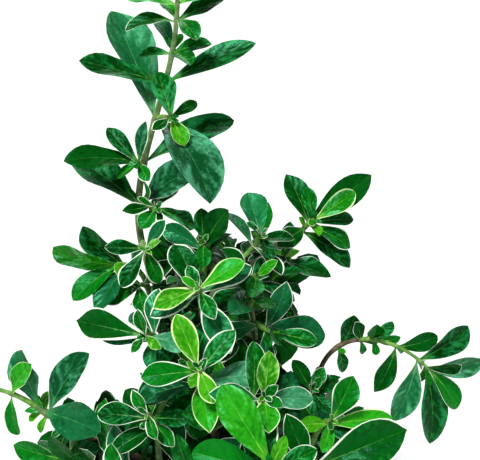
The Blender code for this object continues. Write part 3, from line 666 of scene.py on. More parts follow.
                aim=(-0.4, -0.7, 0.3),
                rim=0.4,
                pairs=(
                    Pair(0.99, 84, (14, 9), (64, 60), tones=("mid", "deep")),
                    Pair(0.9, 100, (13, 0), (70, 0), tones=("blue", "blue")),
                    Pair(0.88, 225, (14, 0), (72, 0), tones=("deep", "deep")),
                    Pair(0.8, 300, (12, 14), (80, 76), tones=("deep", "deep")),
                ),
            ),
        ),
        1,
    ),
    "front_left": Mass(
        Bough(0.56, (-12, -26, 62), 6, 1.8),
        (
            Shoot(
                (-16, -43, 87),
                rim=0.8,
                pairs=(
                    Pair(0.99, 40, (7, 7), (50, 60), tones=("mid", "mid"), rims=(0.5, 0.4)),
                    Pair(0.92, 95, (13, 10), (74, 70), tones=("deep", "deep"), rims=(0.35, 0.1)),
                    Pair(0.84, 50, (12, 9), (78, 70), tones=("deep", "mid"), rims=(0.1, 0.4)),
                    Pair(0.76, 310, (12, 12), (74, 80), tones=("deep", "deep"), rims=(0.1, 0.3)),
                ),
            ),
            Shoot((-22, -46, 70), 15, at=0.3, pairs=3, leafy=5, leaf=15, aim=(-0.3, -0.6, 0.6)),
        ),
        1,
    ),
    "front_mid": Mass(
        Bough(0.66, (-1, -26, 72), 6, 1.9),
        (
            Shoot(
                (-4.2, -46.5, 100.5),
                aim=(0, -0.8, 0.6),
                rim=0.9,
                pairs=(
                    Pair(0.99, 24, (13, 9.5), (62, 62), tones=("lime", "lime"), rims=(0.8, 0.8)),
                    Pair(0.93, 100, (13, 0), (70, 0), tones=("mid", "mid"), rims=(0.5, 0)),
                    Pair(0.92, 320, (12.5, 0), (66, 0), tones=("mid", "mid"), rims=(0.6, 0)),
                    Pair(0.84, 195, (14, 13), (76, 76), tones=("fresh", "deep"), rims=(0.5, 0.1)),
                    Pair(0.76, 285, (15, 15), (78, 78), tones=("pale", "blue"), rims=(0.1, 0.1)),
                ),
            ),
            Shoot(
                (10.4, -49, 94.5),
                -14,
                at=0.3,
                pairs=3,
                leafy=7,
                leaf=15,
                rim=1.2,
                tones=("lime", "fresh", "grey", "pale"),
            ),
        ),
        1,
    ),
    "front_low": Mass(
        Bough(0.46, (4, -34, 52), 7, 1.8),
        (
            Shoot(
                (11.5, -64, 86.5),
                aim=(-0.1, -0.8, 0.6),
                rim=0.6,
                pairs=(
                    Pair(
                        0.99, 36, (20, 9), (62, 60),
                        widths=(0.38, 0.42), tones=("fresh", "mid"), rims=(0.1, 0.3),
                    ),
                    Pair(0.98, 335, (7.5, 0), (52, 0), tones=("lime", "lime"), rims=(0.1, 0)),
                    Pair(0.93, 12, (14, 13), (66, 70), widths=(0.44, 0.42), tones=("deep", "mid")),
                    Pair(0.9, 295, (11, 0), (70, 0), tones=("mid", "mid"), rims=(0.4, 0)),
                    Pair(0.84, 70, (18, 17), (76, 76), tones=("mid", "deep"), rims=(0.1, 0.1)),
                ),
            ),
        ),
        2,
    ),
    "front_right": Mass(
        Bough(0.6, (15, -24, 62), 6, 1.8),
        (
            Shoot(
                (25.5, -46, 87),
                aim=(0.3, -0.8, 0.4),
                rim=0.7,
                pairs=(
                    Pair(
                        0.99, 326, (11.5, 8), (62, 60),
                        widths=(0.56, 0.42), tones=("mid", "fresh"), rims=(0.6, 0.1),
                    ),
                    Pair(
                        0.92, 264, (16, 8), (72, 66),
                        widths=(0.3, 0.46), tones=("fresh", "lime"), rims=(0.5, 0.1),
                    ),
                    Pair(0.85, 80, (12, 12), (72, 72), tones=("grey", "deep"), rims=(0.1, 0.1)),
                    Pair(0.78, 20, (13, 14), (76, 76), tones=("deep", "deep"), rims=(0.1, 0.3)),
                ),
            ),
            Shoot(
                (20, -58, 82),
                at=0.4,
                aim=(0.2, -0.7, 0.6),
                rim=0.8,
                pairs=(
                    Pair(0.99, 283, (23, 9), (64, 60), tones=("deep", "mid"), rims=(1.0, 0.3)),
                    Pair(0.9, 20, (13, 10), (66, 66), tones=("deep", "deep"), rims=(0.4, 0.1)),
                    Pair(0.8, 320, (0, 15), (0, 76), tones=("deep", "deep")),
                ),
            ),
            Shoot(
                (22.5, -26, 84.5),
                at=0.1,
                aim=(0.1, -0.8, 0.5),
                pairs=(
                    Pair(
                        0.99, 30, (9, 7.5), (60, 60),
                        widths=(0.46, 0.42), tones=("deep", "deep"), rims=(0.1, 0.2),
                    ),
                    Pair(0.95, 325, (7, 6), (60, 60), widths=(0.5, 0.42), tones=("mid", "deep")),
                    Pair(0.88, 285, (9, 11), (70, 70), tones=("deep", "deep"), rims=(0.1, 0.1)),
                ),
            ),
        ),
        1,
    ),
    "back_high": Mass(
        Bough(0.94, (1, 8, 84), 3, 1.9),
        (Shoot((2, 10, 106), 30, pairs=3, leafy=8, leaf=16),),
        3,
    ),
    "back_left": Mass(
        Bough(0.72, (-13, 17, 48), 6, 1.9),
        (Shoot((-19, 31, 58), 0, pairs=3, leafy=8, leaf=16),),
        3,
    ),
    "back_middle": Mass(
        Bough(0.78, (0, 22, 66), 6, 1.9),
        (Shoot((-1, 36, 84), 45, pairs=3, leafy=8, leaf=16),),
        3,
    ),
    "back_right": Mass(
        Bough(0.66, (12, 17, 48), 6, 1.9),
        (Shoot((17, 30, 58), 20, pairs=3, leafy=8, leaf=16),),
        3,
    ),
    "low_left": Mass(
        Bough(0.34, (-24, 3, 32), 5, 1.8),
        (Shoot((-44, 5, 42), 30, pairs=3, leafy=8, leaf=16),),
        4,
    ),
    "low_right": Mass(
        Bough(0.4, (23, 2, 32), 5, 1.8),
        (Shoot((40, 4, 38), 60, pairs=3, leafy=8, leaf=16),),
        4,
    ),
    "low_front_left": Mass(
        Bough(0.3, (-15, -20, 32), 5, 1.7),
        (Shoot((-30, -42, 46), 15, pairs=3, leafy=8, leaf=16),),
        4,
    ),
    "low_front_right": Mass(
        Bough(0.36, (17, -19, 33), 5, 1.7),
        (Shoot((32, -42, 48), 75, pairs=3, leafy=8, leaf=16),),
        4,
    ),
    "low_back_left": Mass(
        Bough(0.44, (-13, 22, 33), 5, 1.7),
        (Shoot((-26, 42, 40), 50, pairs=3, leafy=8, leaf=16),),
        4,
    ),
    "low_back_right": Mass(
        Bough(0.5, (15, 22, 33), 5, 1.7),
        (Shoot((27, 41, 40), 10, pairs=3, leafy=8, leaf=16),),
        4,
    ),
}


class Solid:
    """A closed surface, with what is needed to tell whether it touches another."""

    def __init__(self, points, faces):
        self.points = points
        self.faces = faces
        self.tree = BVHTree.FromPolygons(points, faces)
        self.low = [min(p[axis] for p in points) for axis in range(3)]
        self.high = [max(p[axis] for p in points) for axis in range(3)]

    def near(self, other):
        return all(
            self.low[axis] <= other.high[axis] and other.low[axis] <= self.high[axis] for axis in range(3)
        )

    def touches(self, other):
        return self.near(other) and bool(self.tree.overlap(other.tree))


class Path:
    """A smooth line from a start to a tip, leaving along lead and ending along aim."""

    def __init__(self, start, tip, lead, aim, arch=0.0):
        reach = (tip - start).length * 0.36
        rise = Vector((0, 0, arch * 4 / 3))
        self.corners = (start, start + lead * reach + rise, tip - aim * reach + rise, tip)
        self.length = (tip - start).length

    def point(self, t):
        a, b, c, d = self.corners
        u = 1 - t
        return a * u**3 + b * (3 * u * u * t) + c * (3 * u * t * t) + d * t**3

    def way(self, t):
        a, b, c, d = self.corners
        u = 1 - t
        return ((b - a) * (u * u) + (c - b) * (2 * u * t) + (d - c) * (t * t)).normalized()


def across(way):
    """Two directions square to a twig, the first of them as near upright as it can be."""
    upright = Vector((0, 0, 1)) if abs(way.z) < 0.93 else Vector((1, 0, 0))
    first = (upright - way * upright.dot(way)).normalized()
    return first, way.cross(first)


def tube(path, start, end, radius_at, sides, steps):
    """A closed round limb along part of a path. radius_at takes the share done and the angle."""
    points = []
    faces = []
    first, _ = across(path.way(start))
    for step in range(steps + 1):
        share = step / steps
        t = start + (end - start) * share
        way = path.way(t)
        first = (first - way * first.dot(way)).normalized()
        second = way.cross(first)
        for side in range(sides):
            angle = math.tau * side / sides
            out = first * math.cos(angle) + second * math.sin(angle)
            points.append(path.point(t) + out * radius_at(share, angle))
    for step in range(steps):
        for side in range(sides):
            after = (side + 1) % sides
            low, high = step * sides, (step + 1) * sides
            faces.append((low + side, low + after, high + after, high + side))
    faces.append(tuple(reversed(range(sides))))
    faces.append(tuple(range(steps * sides, (steps + 1) * sides)))
    return Solid(points, faces)


def tapered(path, start, end, foot, tip, sides, steps):
    return tube(path, start, end, lambda share, _: foot + (tip - foot) * share, sides, steps)


class Leaf:
    """A leaf's middle line and blade: it leaves its twig at an angle and bends back."""

    def __init__(self, root, way, out, length, width, spread, curl, turned):
        self.root = root
        self.way = way
        self.out = out
        self.length = length
        self.half = length * width / 2
        self.spread = math.radians(spread)
        self.curl = math.radians(curl)
        self.turned = turned
        self.share = 0.0
        self.tone = None
        self.rim = None

    def angle(self, s):
        return self.spread + self.curl * s

    def middle(self, s):
        first, last = self.spread, self.angle(s)
        along = self.way * (math.sin(last) - math.sin(first)) + self.out * (math.cos(first) - math.cos(last))
        return self.root + along * (self.length / self.curl)

    def frame(self, s):
        """The blade's sideways direction and its upper face's normal."""
        angle = self.angle(s)
        forward = self.way * math.cos(angle) + self.out * math.sin(angle)
        normal = self.way * math.sin(angle) - self.out * math.cos(angle)
        turn = Quaternion(forward, self.turned)
        return turn @ forward.cross(normal), turn @ normal

    def half_width(self, s):
        rise = (s / LEAF_WIDEST) ** LEAF_BASE
        return self.half * rise * ((1 - s) / (1 - LEAF_WIDEST)) ** LEAF_POINT

    def at(self, s, side, lift, wider=0.0):
        sideways, normal = self.frame(s)
        half = self.half_width(s) + wider
        return self.middle(s) + sideways * (half * side) + normal * (lift + LEAF_TROUGH * half * abs(side))

    def corners(self, start, grown):
        """Its outline from the root round to the root, and the raised middle of its face."""
        low, high = LEAF_OUTLINE
        low = max(low, start + 0.1)
        sideways, normal = self.frame(1.0)
        tip = self.middle(1.0) + normal.cross(sideways).normalized() * grown
        outline = [
            self.middle(start),
            self.at(low, 1, 0, grown),
            self.at(high, 1, 0, grown),
            tip,
            self.at(high, -1, 0, grown),
            self.at(low, -1, 0, grown),
        ]
        return outline + [self.at(LEAF_MIDDLE, 0, self.length * LEAF_THICKNESS + grown)]

    def solid(self):
        """Ten faces: six over the arched blade and four under it, from root to tip."""
        faces = [(6, corner, (corner + 1) % 6) for corner in range(6)]
        faces += [(0, 3, 1), (1, 3, 2), (0, 5, 3), (5, 4, 3)]
        return Solid(self.corners(0.0, 0.0), faces)

    def room(self, start=0.0):
        """The clear space that the blade needs round it, from a share of its length on."""
        points = self.corners(start, CLEAR)
        keel = (points[0] + points[3]) / 2 - self.frame(LEAF_MIDDLE)[1] * CLEAR
        points.append(keel)
        faces = [(6, corner, (corner + 1) % 6) for corner in range(6)]
        faces += [(7, (corner + 1) % 6, corner) for corner in range(6)]
        return Solid(points, faces)


def turn_to_light(way, out, spread, curl, light):
    """How far a leaf would twist on its stalk to turn its upper face to the light."""
    angle = math.radians(spread + curl / 2)
    forward = way * math.cos(angle) + out * math.sin(angle)
    normal = way * math.sin(angle) - out * math.cos(angle)
    sky = light - forward * forward.dot(light)
    if sky.length < 0.2:
        return 0.0
    full = math.atan2(forward.dot(normal.cross(sky)), normal.dot(sky))
    return max(-LARGEST_TURN, min(LARGEST_TURN, full))


class Twig:
    """One shoot's line, its own solid and the leaves that it carries."""

    def __init__(self, mass, shoot, path, solid, steps):
        self.mass = mass
        self.shoot = shoot
        self.path = path
        self.solid = solid
        self.steps = steps
        self.leaves = []

    def spot(self, t):
        """A point on the solid's own middle line, which is straight within each step."""
        step = min(int(t * self.steps), self.steps - 1)
        low = self.path.point(step / self.steps)
        high = self.path.point((step + 1) / self.steps)
        return low + (high - low) * (t * self.steps - step)

    def nodes(self):
        return sorted({round(leaf.share, 3) for leaf in self.leaves})

    def light(self):
        if self.shoot.light:
            return Vector(self.shoot.light).normalized()
        return (self.path.point(1.0) - HEART).normalized()


def pair_places(twig):
    """Each pair by the rule: closer, smaller and steeper towards the shoot's tip."""
    shoot = twig.shoot
    pitch = shoot.leafy / max(shoot.pairs - 1, 1)
    for pair in range(shoot.pairs):
        at = 1 - pair * pitch / twig.path.length
        if at < 0.05:
            return
        length = shoot.leaf * SIZE_FROM_TIP[min(pair, 3)]
        spread = SPREAD_FROM_TIP[min(pair, 3)]
        yield Pair(at, shoot.roll + 90 * pair, (length, length), (spread, spread), loose=1.0)


class Plant:
    """Every solid that has been placed, so that the next one can keep clear of it."""

    def __init__(self):
        self.placed = []
        self.cells = {}
        self.tips = []

    def add(self, mass, solid):
        self.placed.append((mass, solid))
        for cell in cells_of(solid, 0):
            self.cells.setdefault(cell, []).append((mass, solid))
        return solid

    def free(self, mass, whole, beyond_root, besides):
        """Whether the whole clears all other masses, and its outer part clears its own too."""
        near = {id(one): one for cell in cells_of(whole, 1) for one in self.cells.get(cell, ())}
        for owner, other in near.values():
            if owner != mass and whole.touches(other):
                return False
            if owner == mass and other not in besides and beyond_root.touches(other):
                return False
        return True

    def grow_leaf(self, twig, pair, side, dice):
        at = min(pair.at, 1 - TIP_PAIR_BACK / twig.path.length)
        way = twig.path.way(at)
        first, second = across(way)
        play = [pair.loose * dice.uniform(-1, 1) for _ in range(5)]
        turn = pair.turn + 180 * side + JITTER * play[0]
        length = pair.lengths[side] * (1 + LENGTH_PLAY * play[1])
        width = pair.widths[side] + WIDTH_PLAY * play[2]
        lean = pair.spreads[side] + JITTER * play[3]
        curl = pair.curls[side] * (1 + CURL_PLAY * play[4])
        for more_lean, more_turn, size in TRIES:
            angle = math.radians(turn + more_turn)
            out = first * math.cos(angle) + second * math.sin(angle)
            spread = lean + more_lean
            turned = twig.shoot.lit * turn_to_light(way, out, spread, curl, twig.light())
            turned += math.radians(pair.rolls[side])
            leaf = Leaf(twig.spot(at), way, out, length * size, width, spread, curl, turned)
            whole = leaf.room()
            beyond = leaf.room(PROBE_START)
            if whole.low[2] > LOWEST_LEAF and self.free(twig.mass, whole, beyond, (twig.solid,)):
                self.add(twig.mass, leaf.solid())
                leaf.share = at
                leaf.tone = pair.tones[side]
                leaf.rim = pair.rims[side]
                leaf.fine = twig.mass in FRONT and not twig.shoot.shaded
                twig.leaves.append(leaf)
                return

    def grow_leaves(self, twig, dice):
        pairs = twig.shoot.pairs
        for pair in pair_places(twig) if isinstance(pairs, int) else pairs:
            for side in (0, 1):
                if pair.lengths[side]:
                    self.grow_leaf(twig, pair, side, dice)

    def grow_stem(self, mass, shoot, bough):
        lead = bough.way(1.0)
        path = path_to(shoot, bough.point(1.0) + lead * CLEAR, lead)
        steps = max(STEM_STEPS, round(path.length / STEP_LENGTH))
        solid = tapered(path, 0, 1, STEM_RADIUS, TWIG_TIP_RADIUS, STEM_SIDES, steps)
        room = tapered(path, 0, 1, STEM_RADIUS + CLEAR, TWIG_TIP_RADIUS + CLEAR, STEM_SIDES, steps)
        if not self.free(mass, room, room, ()):
            raise ValueError(f"the stem of {mass} touches something")
        self.tips.append(Vector(shoot.tip))
        return Twig(mass, shoot, path, self.add(mass, solid), steps)

    def grow_shoot(self, stem, shoot):
        """A twig off the mass's stem, or None where something is in its way."""
        start = stem.spot(shoot.at)
        lead = (stem.path.way(shoot.at) + (Vector(shoot.tip) - start).normalized()).normalized()
        path = path_to(shoot, start, lead)
        solid = tapered(path, 0, 1, TWIG_RADIUS, TWIG_TIP_RADIUS, TWIG_SIDES, TWIG_STEPS)
        grown = (TWIG_RADIUS + CLEAR, TWIG_TIP_RADIUS + CLEAR, TWIG_SIDES, TWIG_STEPS)
        whole, beyond = (tapered(path, share, 1, *grown) for share in (0, 0.15))
        if not self.free(stem.mass, whole, beyond, (stem.solid,)):
            return None
        self.tips.append(Vector(shoot.tip))
        return Twig(stem.mass, shoot, path, self.add(stem.mass, solid), TWIG_STEPS)

    def fill_shoots(self, stem, dice, apart=FILL_APART):
        """Candidate shoots, the one with the most room round its tip first."""
        found = []
        for _ in range(FILL_CANDIDATES):
            at = dice.uniform(0.1, 0.8)
            start = stem.spot(at)
            first, second = across(stem.path.way(at))
            angle = dice.uniform(0, math.tau)
            out = first * math.cos(angle) + second * math.sin(angle)
            away = (start - HEART).normalized()
            heading = (out + stem.path.way(at) * 0.5 + away * 0.6).normalized()
            tip = start + heading * dice.uniform(*FILL_REACH)
            room = min((tip - other).length for other in self.tips)
            roll = dice.uniform(0, 90)
            if room > apart and in_crown(tip):
                found.append((room, Shoot(tuple(tip), roll, at, FILL_PAIRS, FILL_LEAFY, FILL_LEAF)))
        return [shoot for _, shoot in sorted(found, key=lambda one: -one[0])]


def cells_of(solid, more):
    """The cells of a coarse grid that a solid's box reaches, with some millimetres more."""
    spans = [
        range(math.floor((low - more) / CELL), math.floor((high + more) / CELL) + 1)
        for low, high in zip(solid.low, solid.high)
    ]
    return itertools.product(*spans)


def path_to(shoot, start, lead):
    tip = Vector(shoot.tip)
    aim = Vector(shoot.aim).normalized() if shoot.aim else (tip - HEART).normalized()
    return Path(start, tip, lead, aim, shoot.arch)


def in_crown(point):
    """Whether a tip lies within the crown, whose edge follows the plant's own skyline."""
    level = point.z + VIEW_FALL * point.y
    rows = zip(CROWN_EDGE, CROWN_EDGE[1:])
    low, high = next(((a, b) for a, b in rows if a[0] <= level <= b[0]), (None, None))
    if low is None or point.z < LOWEST_TIP:
        return False
    share = (level - low[0]) / (high[0] - low[0])
    left, right = (low[side] + (high[side] - low[side]) * share for side in (1, 2))
    depth = CROWN_DEPTH * math.sqrt(max(1 - (point.z / CROWN_TOP) ** 2, 0))
    return left < point.x < right and abs(point.y) < depth


def trunk_line():
    tip = Vector(TRUNK_TIP)
    path = Path(Vector((0, 0, 0)), tip, Vector((0, 0, 1)), tip.normalized())
    bow = Vector(TRUNK_BOW) * 4 / 3
    a, b, c, d = path.corners
    path.corners = (a, b + bow, c + bow, d)
    return path


def trunk_radius(share, angle):
    height = share * TRUNK_TIP[2]
    flare = FLARE * math.exp(-height * math.log(3) / FLARE_HEIGHT)
    lobes = 1 + 0.35 * math.cos(FLARE_LOBES * angle)
    return TRUNK_FOOT_RADIUS + (TRUNK_TIP_RADIUS - TRUNK_FOOT_RADIUS) * share + flare * lobes


def trunk_solid(path):
    """The trunk, with its foot cut level."""
    solid = tube(path, 0, 1, trunk_radius, TRUNK_SIDES, TRUNK_STEPS)
    for index in range(TRUNK_SIDES):
        solid.points[index].z = 0.0
    return Solid(solid.points, solid.faces)


def bough_line(bough, trunk):
    start = trunk.point(bough.height)
    tip = Vector(bough.tip)
    if bough.height == 1.0:
        return Path(start, tip, trunk.way(1.0), Vector(bough.aim).normalized(), bough.arch)
    chord = tip - start
    flat = Vector((chord.x, chord.y, 0)).normalized()
    lead = (flat + Vector((0, 0, 0.75))).normalized()
    away = Vector(bough.aim) if bough.aim else (tip - HEART).normalized() * 0.8
    aim = (chord.normalized() + away).normalized()
    return Path(start, tip, lead, aim, bough.arch)


def bough_start(path, bough, placed):
    """How far along its line a bough's foot stands clear of the trunk and of other boughs."""
    start = CLEAR / path.length if bough.height == 1.0 else 0.0
    for step in range(200):
        at = start + step * 0.005
        probe = tapered(path, at, 1, bough.radius + CLEAR, BOUGH_TIP_RADIUS + CLEAR, BOUGH_SIDES, BOUGH_STEPS)
        if bough.height == 1.0 or not any(probe.touches(other) for _, other in placed):
            return at
    raise ValueError(f"no clear way for the bough to {bough.tip}")


def grow():
    """Places the trunk, boughs, twigs and leaves. Returns the limbs and each mass's twigs."""
    plant = Plant()
    trunk = trunk_line()
    limbs = {"trunk": plant.add("trunk", trunk_solid(trunk))}
    lines = {}
    boughs = []
    for name, mass in MASSES.items():
        path = bough_line(mass.bough, trunk)
        start = bough_start(path, mass.bough, plant.placed)
        solid = tapered(path, start, 1, mass.bough.radius, BOUGH_TIP_RADIUS, BOUGH_SIDES, BOUGH_STEPS)
        limbs[name + "_bough"] = plant.add(name + "_bough", solid)
        lines[name] = path
        boughs.append((path, start, mass.bough))
    twigs = {name: [plant.grow_stem(name, mass.shoots[0], lines[name])] for name, mass in MASSES.items()}
    for name, mass in MASSES.items():
        for shoot in mass.shoots[1:]:
            twigs[name].append(plant.grow_shoot(twigs[name][0], shoot))
    for number, name in enumerate(MASSES):
        for twig in twigs[name]:
            plant.grow_leaves(twig, random.Random(SEED + number))
    for turn in range(max(mass.fill for mass in MASSES.values())):
        for number, (name, mass) in enumerate(MASSES.items()):
            dice = random.Random(SEED * 100 + turn * 50 + number)
            shoots = plant.fill_shoots(twigs[name][0], dice) if turn < mass.fill else ()
            twig = next(filter(None, (plant.grow_shoot(twigs[name][0], shoot) for shoot in shoots)), None)
            if twig:
                twigs[name].append(twig)
                plant.grow_leaves(twig, dice)
    return plant, limbs, twigs, trunk, boughs


def grow_filling(plant, twigs):
    """Shaded shoots off each stem, into the crown's widest gaps and behind its own front."""
    for turn in range(FILLING):
        for number, (name, group) in enumerate(twigs.items()):
            dice = random.Random(3000 + 50 * turn + number)
            front = group[0].path.point(1.0).y if name in FRONT else -CROWN_DEPTH
            for shoot in plant.fill_shoots(group[0], dice, FILLING_APART):
                shoot = shoot._replace(leaf=FILLING_LEAF, rim=SHADED_RIM, shaded=True)
                twig = shoot.tip[1] > front and plant.grow_shoot(group[0], shoot)
                if twig:
                    group.append(twig)
                    plant.grow_leaves(twig, dice)
                    break


def grow_inner_shoots(plant, limbs, boughs, twigs):
    """Short shaded shoots straight off the boughs, which leaf the middle of the crown."""
    for number, ((path, start, _), (name, group)) in enumerate(zip(boughs, twigs.items())):
        dice = random.Random(900 + number)
        bough = Twig(name + "_bough", None, path, limbs[name + "_bough"], BOUGH_STEPS)
        for step in range(INNER_SHOOTS):
            at = start + (1 - start) * (step + 0.5) / INNER_SHOOTS
            for _ in range(INNER_TRIES):
                shoot = side_shoot(bough, dice, at, INNER_REACH, INNER_LEAF, INNER_PAIRS)
                twig = in_crown(Vector(shoot.tip)) and plant.grow_shoot(bough, shoot)
                if twig:
                    group.append(twig)
                    plant.grow_leaves(twig, dice)
                    break


def grow_fine_twigs(plant, twigs):
    """Side twigs too fine for the solids, off every twig and by the same rule."""
    for number, (name, group) in enumerate(twigs.items()):
        dice = random.Random(500 + number)
        for twig in list(group):
            wanted = FINE_TWIGS_AT_FRONT if name in FRONT else FINE_TWIGS
            for _ in range(wanted * FINE_TRIES):
                shoot = side_shoot(twig, dice, dice.uniform(0.15, 0.9), FINE_REACH, FINE_LEAF, FINE_PAIRS)
                hidden = name not in FRONT or shoot.tip[1] > twig.spot(shoot.at).y
                fine = wanted and hidden and in_crown(Vector(shoot.tip)) and plant.grow_shoot(twig, shoot)
                if fine:
                    wanted -= 1
                    group.append(fine)
                    plant.grow_leaves(fine, dice)


def in_picture(point):
    """Where the camera sees a point, in the photo's pixels from its left and top."""
    fall = math.radians(CAMERA_FALL)
    view = Vector((0, math.cos(fall), -math.sin(fall)))
    rise = Vector((0, math.sin(fall), math.cos(fall)))
    ray = point - Vector(CAMERA_TARGET) + view * CAMERA_DISTANCE
    scale = FOCAL_PIXELS / ray.dot(view)
    return PHOTO_SIZE[0] / 2 + ray.x * scale, PHOTO_SIZE[1] / 2 - ray.dot(rise) * scale


def in_opening(point):
    x, y = in_picture(point)
    return any(left < x < right and top < y < bottom for left, top, right, bottom in OPENINGS)


def covers_opening(leaf):
    return any(in_opening(leaf.middle(s)) for s in (0.5, 0.9))


def clear_openings(twigs):
    """Takes away the ruled leaves that the photo shows sky instead of, and the twigs left bare."""
    for name, group in twigs.items():
        for twig in list(group):
            if name in FRONT and not isinstance(twig.shoot.pairs, int):
                continue
            bare = not twig.leaves
            twig.leaves = [leaf for leaf in twig.leaves if not covers_opening(leaf)]
            if not twig.leaves and not bare and twig is not group[0] and in_opening(twig.path.point(1.0)):
                group.remove(twig)


def side_shoot(twig, dice, at, reach, leaf, pairs):
    """A short shaded shoot to any side of a twig or bough."""
    first, second = across(twig.path.way(at))
    angle = dice.uniform(0, math.tau)
    out = first * math.cos(angle) + second * math.sin(angle)
    heading = (out + twig.path.way(at) * 0.6).normalized()
    tip = twig.spot(at) + heading * dice.uniform(*reach)
    roll = dice.uniform(0, 90)
    return Shoot(tuple(tip), roll, at, pairs, FINE_LEAFY, dice.uniform(*leaf), rim=SHADED_RIM, shaded=True)


def grow_small_leaves(plant, twigs):
    """Buds at each tip, and sprigs of small leaves in the older axils."""
    small = []
    for number, group in enumerate(twigs.values()):
        dice = random.Random(7000 + number)
        for twig in group:
            for turn in range(4):
                length = dice.uniform(*BUD_LEAF)
                small.append(grow_small(plant, twig, 0.995, 90 * turn + 45, length, BUD_SPREAD, dice))
            for at in twig.nodes():
                for turn in range(4):
                    if dice.random() < SPRIG_CHANCE:
                        length = dice.uniform(*SPRIG_LEAF)
                        spread = dice.uniform(*SPRIG_SPREAD)
                        small.append(grow_small(plant, twig, at, 90 * turn + 45, length, spread, dice))
    return [leaf for leaf in small if leaf]


def grow_small(plant, twig, at, turn, length, spread, dice):
    way = twig.path.way(at)
    first, second = across(way)
    angle = math.radians(turn + dice.uniform(-30, 30))
    out = first * math.cos(angle) + second * math.sin(angle)
    lean = spread + dice.uniform(-JITTER, JITTER)
    turned = twig.shoot.lit * turn_to_light(way, out, lean, LEAF_CURL, twig.light())
    width = 0.42 + dice.uniform(-WIDTH_PLAY, WIDTH_PLAY)
    leaf = Leaf(twig.spot(at), way, out, length, width, lean, LEAF_CURL, turned)
    leaf.tone = dice.choice(SMALL_TONES)
    leaf.rim = twig.shoot.rim * 0.3
    leaf.fine = False
    if plant.free(twig.mass, leaf.room(), leaf.room(0.4), (twig.solid,)):
        plant.add(twig.mass, leaf.solid())
        return leaf
    return None


def give_tones(twigs):
    """Deals out each leaf's green and the breadth of its margin, by its place on its shoot."""
    for number, group in enumerate(twigs.values()):
        dice = random.Random(97 + number)
        for twig in group:
            for rank, leaf in enumerate(sorted(twig.leaves, key=lambda leaf: -leaf.share)):
                choices = TONES_FROM_TIP[min(rank // 2, len(TONES_FROM_TIP) - 1)]
                # painted shade: a shoot inside the crown deals only the darker greens
                if twig.shoot.shaded:
                    choices = SHADED_TONES
                tone = dice.choices([name for name, _ in choices], [weight for _, weight in choices])[0]
                if rank < len(twig.shoot.tones):
                    tone = twig.shoot.tones[rank]
                leaf.tone = leaf.tone or tone
                rim = twig.shoot.rim * dice.uniform(*RIM_RANGE)
                leaf.rim = rim if leaf.rim is None else leaf.rim


class Soup:
    """Points and faces gathered for one joined mesh, each face with its material's number."""

    def __init__(self):
        self.points = []
        self.faces = []
        self.slots = []
        self.places = []  # each point's place on its own leaf, where there are leaves

    def skin(self, rings, slots):
        """A closed skin through rings of points. slots holds a number for each side of a ring."""
        first = len(self.points)
        count = len(rings[0])
        for ring in rings:
            self.points += ring
        for row in range(len(rings) - 1):
            low, high = first + row * count, first + (row + 1) * count
            for side in range(count):
                after = (side + 1) % count
                self.faces.append((low + side, low + after, high + after, high + side))
                self.slots.append(slots(row)[side] if callable(slots) else slots[side])
        last = first + (len(rings) - 1) * count
        for start, turn in ((first, -1), (last, 1)):
            self.faces.append(tuple(range(start, start + count))[::turn])
            self.slots.append((slots(0) if callable(slots) else slots)[0])

    def piece(self, name, materials, sharp=SHARP_EDGE):
        mesh = bpy.data.meshes.new(name)
        mesh.from_pydata([point * METRES for point in self.points], [], self.faces)
        for material in materials:
            mesh.materials.append(material)
        mesh.polygons.foreach_set("material_index", self.slots)
        if self.places:
            places = mesh.attributes.new(PLACE, "FLOAT_VECTOR", "POINT")
            places.data.foreach_set("vector", [number for place in self.places for number in place])
        work = bmesh.new()
        work.from_mesh(mesh)
        bmesh.ops.remove_doubles(work, verts=work.verts, dist=WELD)
        bmesh.ops.dissolve_degenerate(work, edges=work.edges, dist=WELD)
        bmesh.ops.recalc_face_normals(work, faces=work.faces)
        work.to_mesh(mesh)
        work.free()
        mesh.shade_smooth()
        mesh.set_sharp_from_angle(angle=math.radians(sharp))
        piece = bpy.data.objects.new(name, mesh)
        bpy.context.scene.collection.objects.link(piece)
        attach(piece, "root")
        return piece


FACE, UNDER, MARGIN, RIB = range(4)  # a leaf's materials
PLACE = "place on leaf"  # attribute: across it from -1 to 1, along it from 0 to 1, the leaf's own number


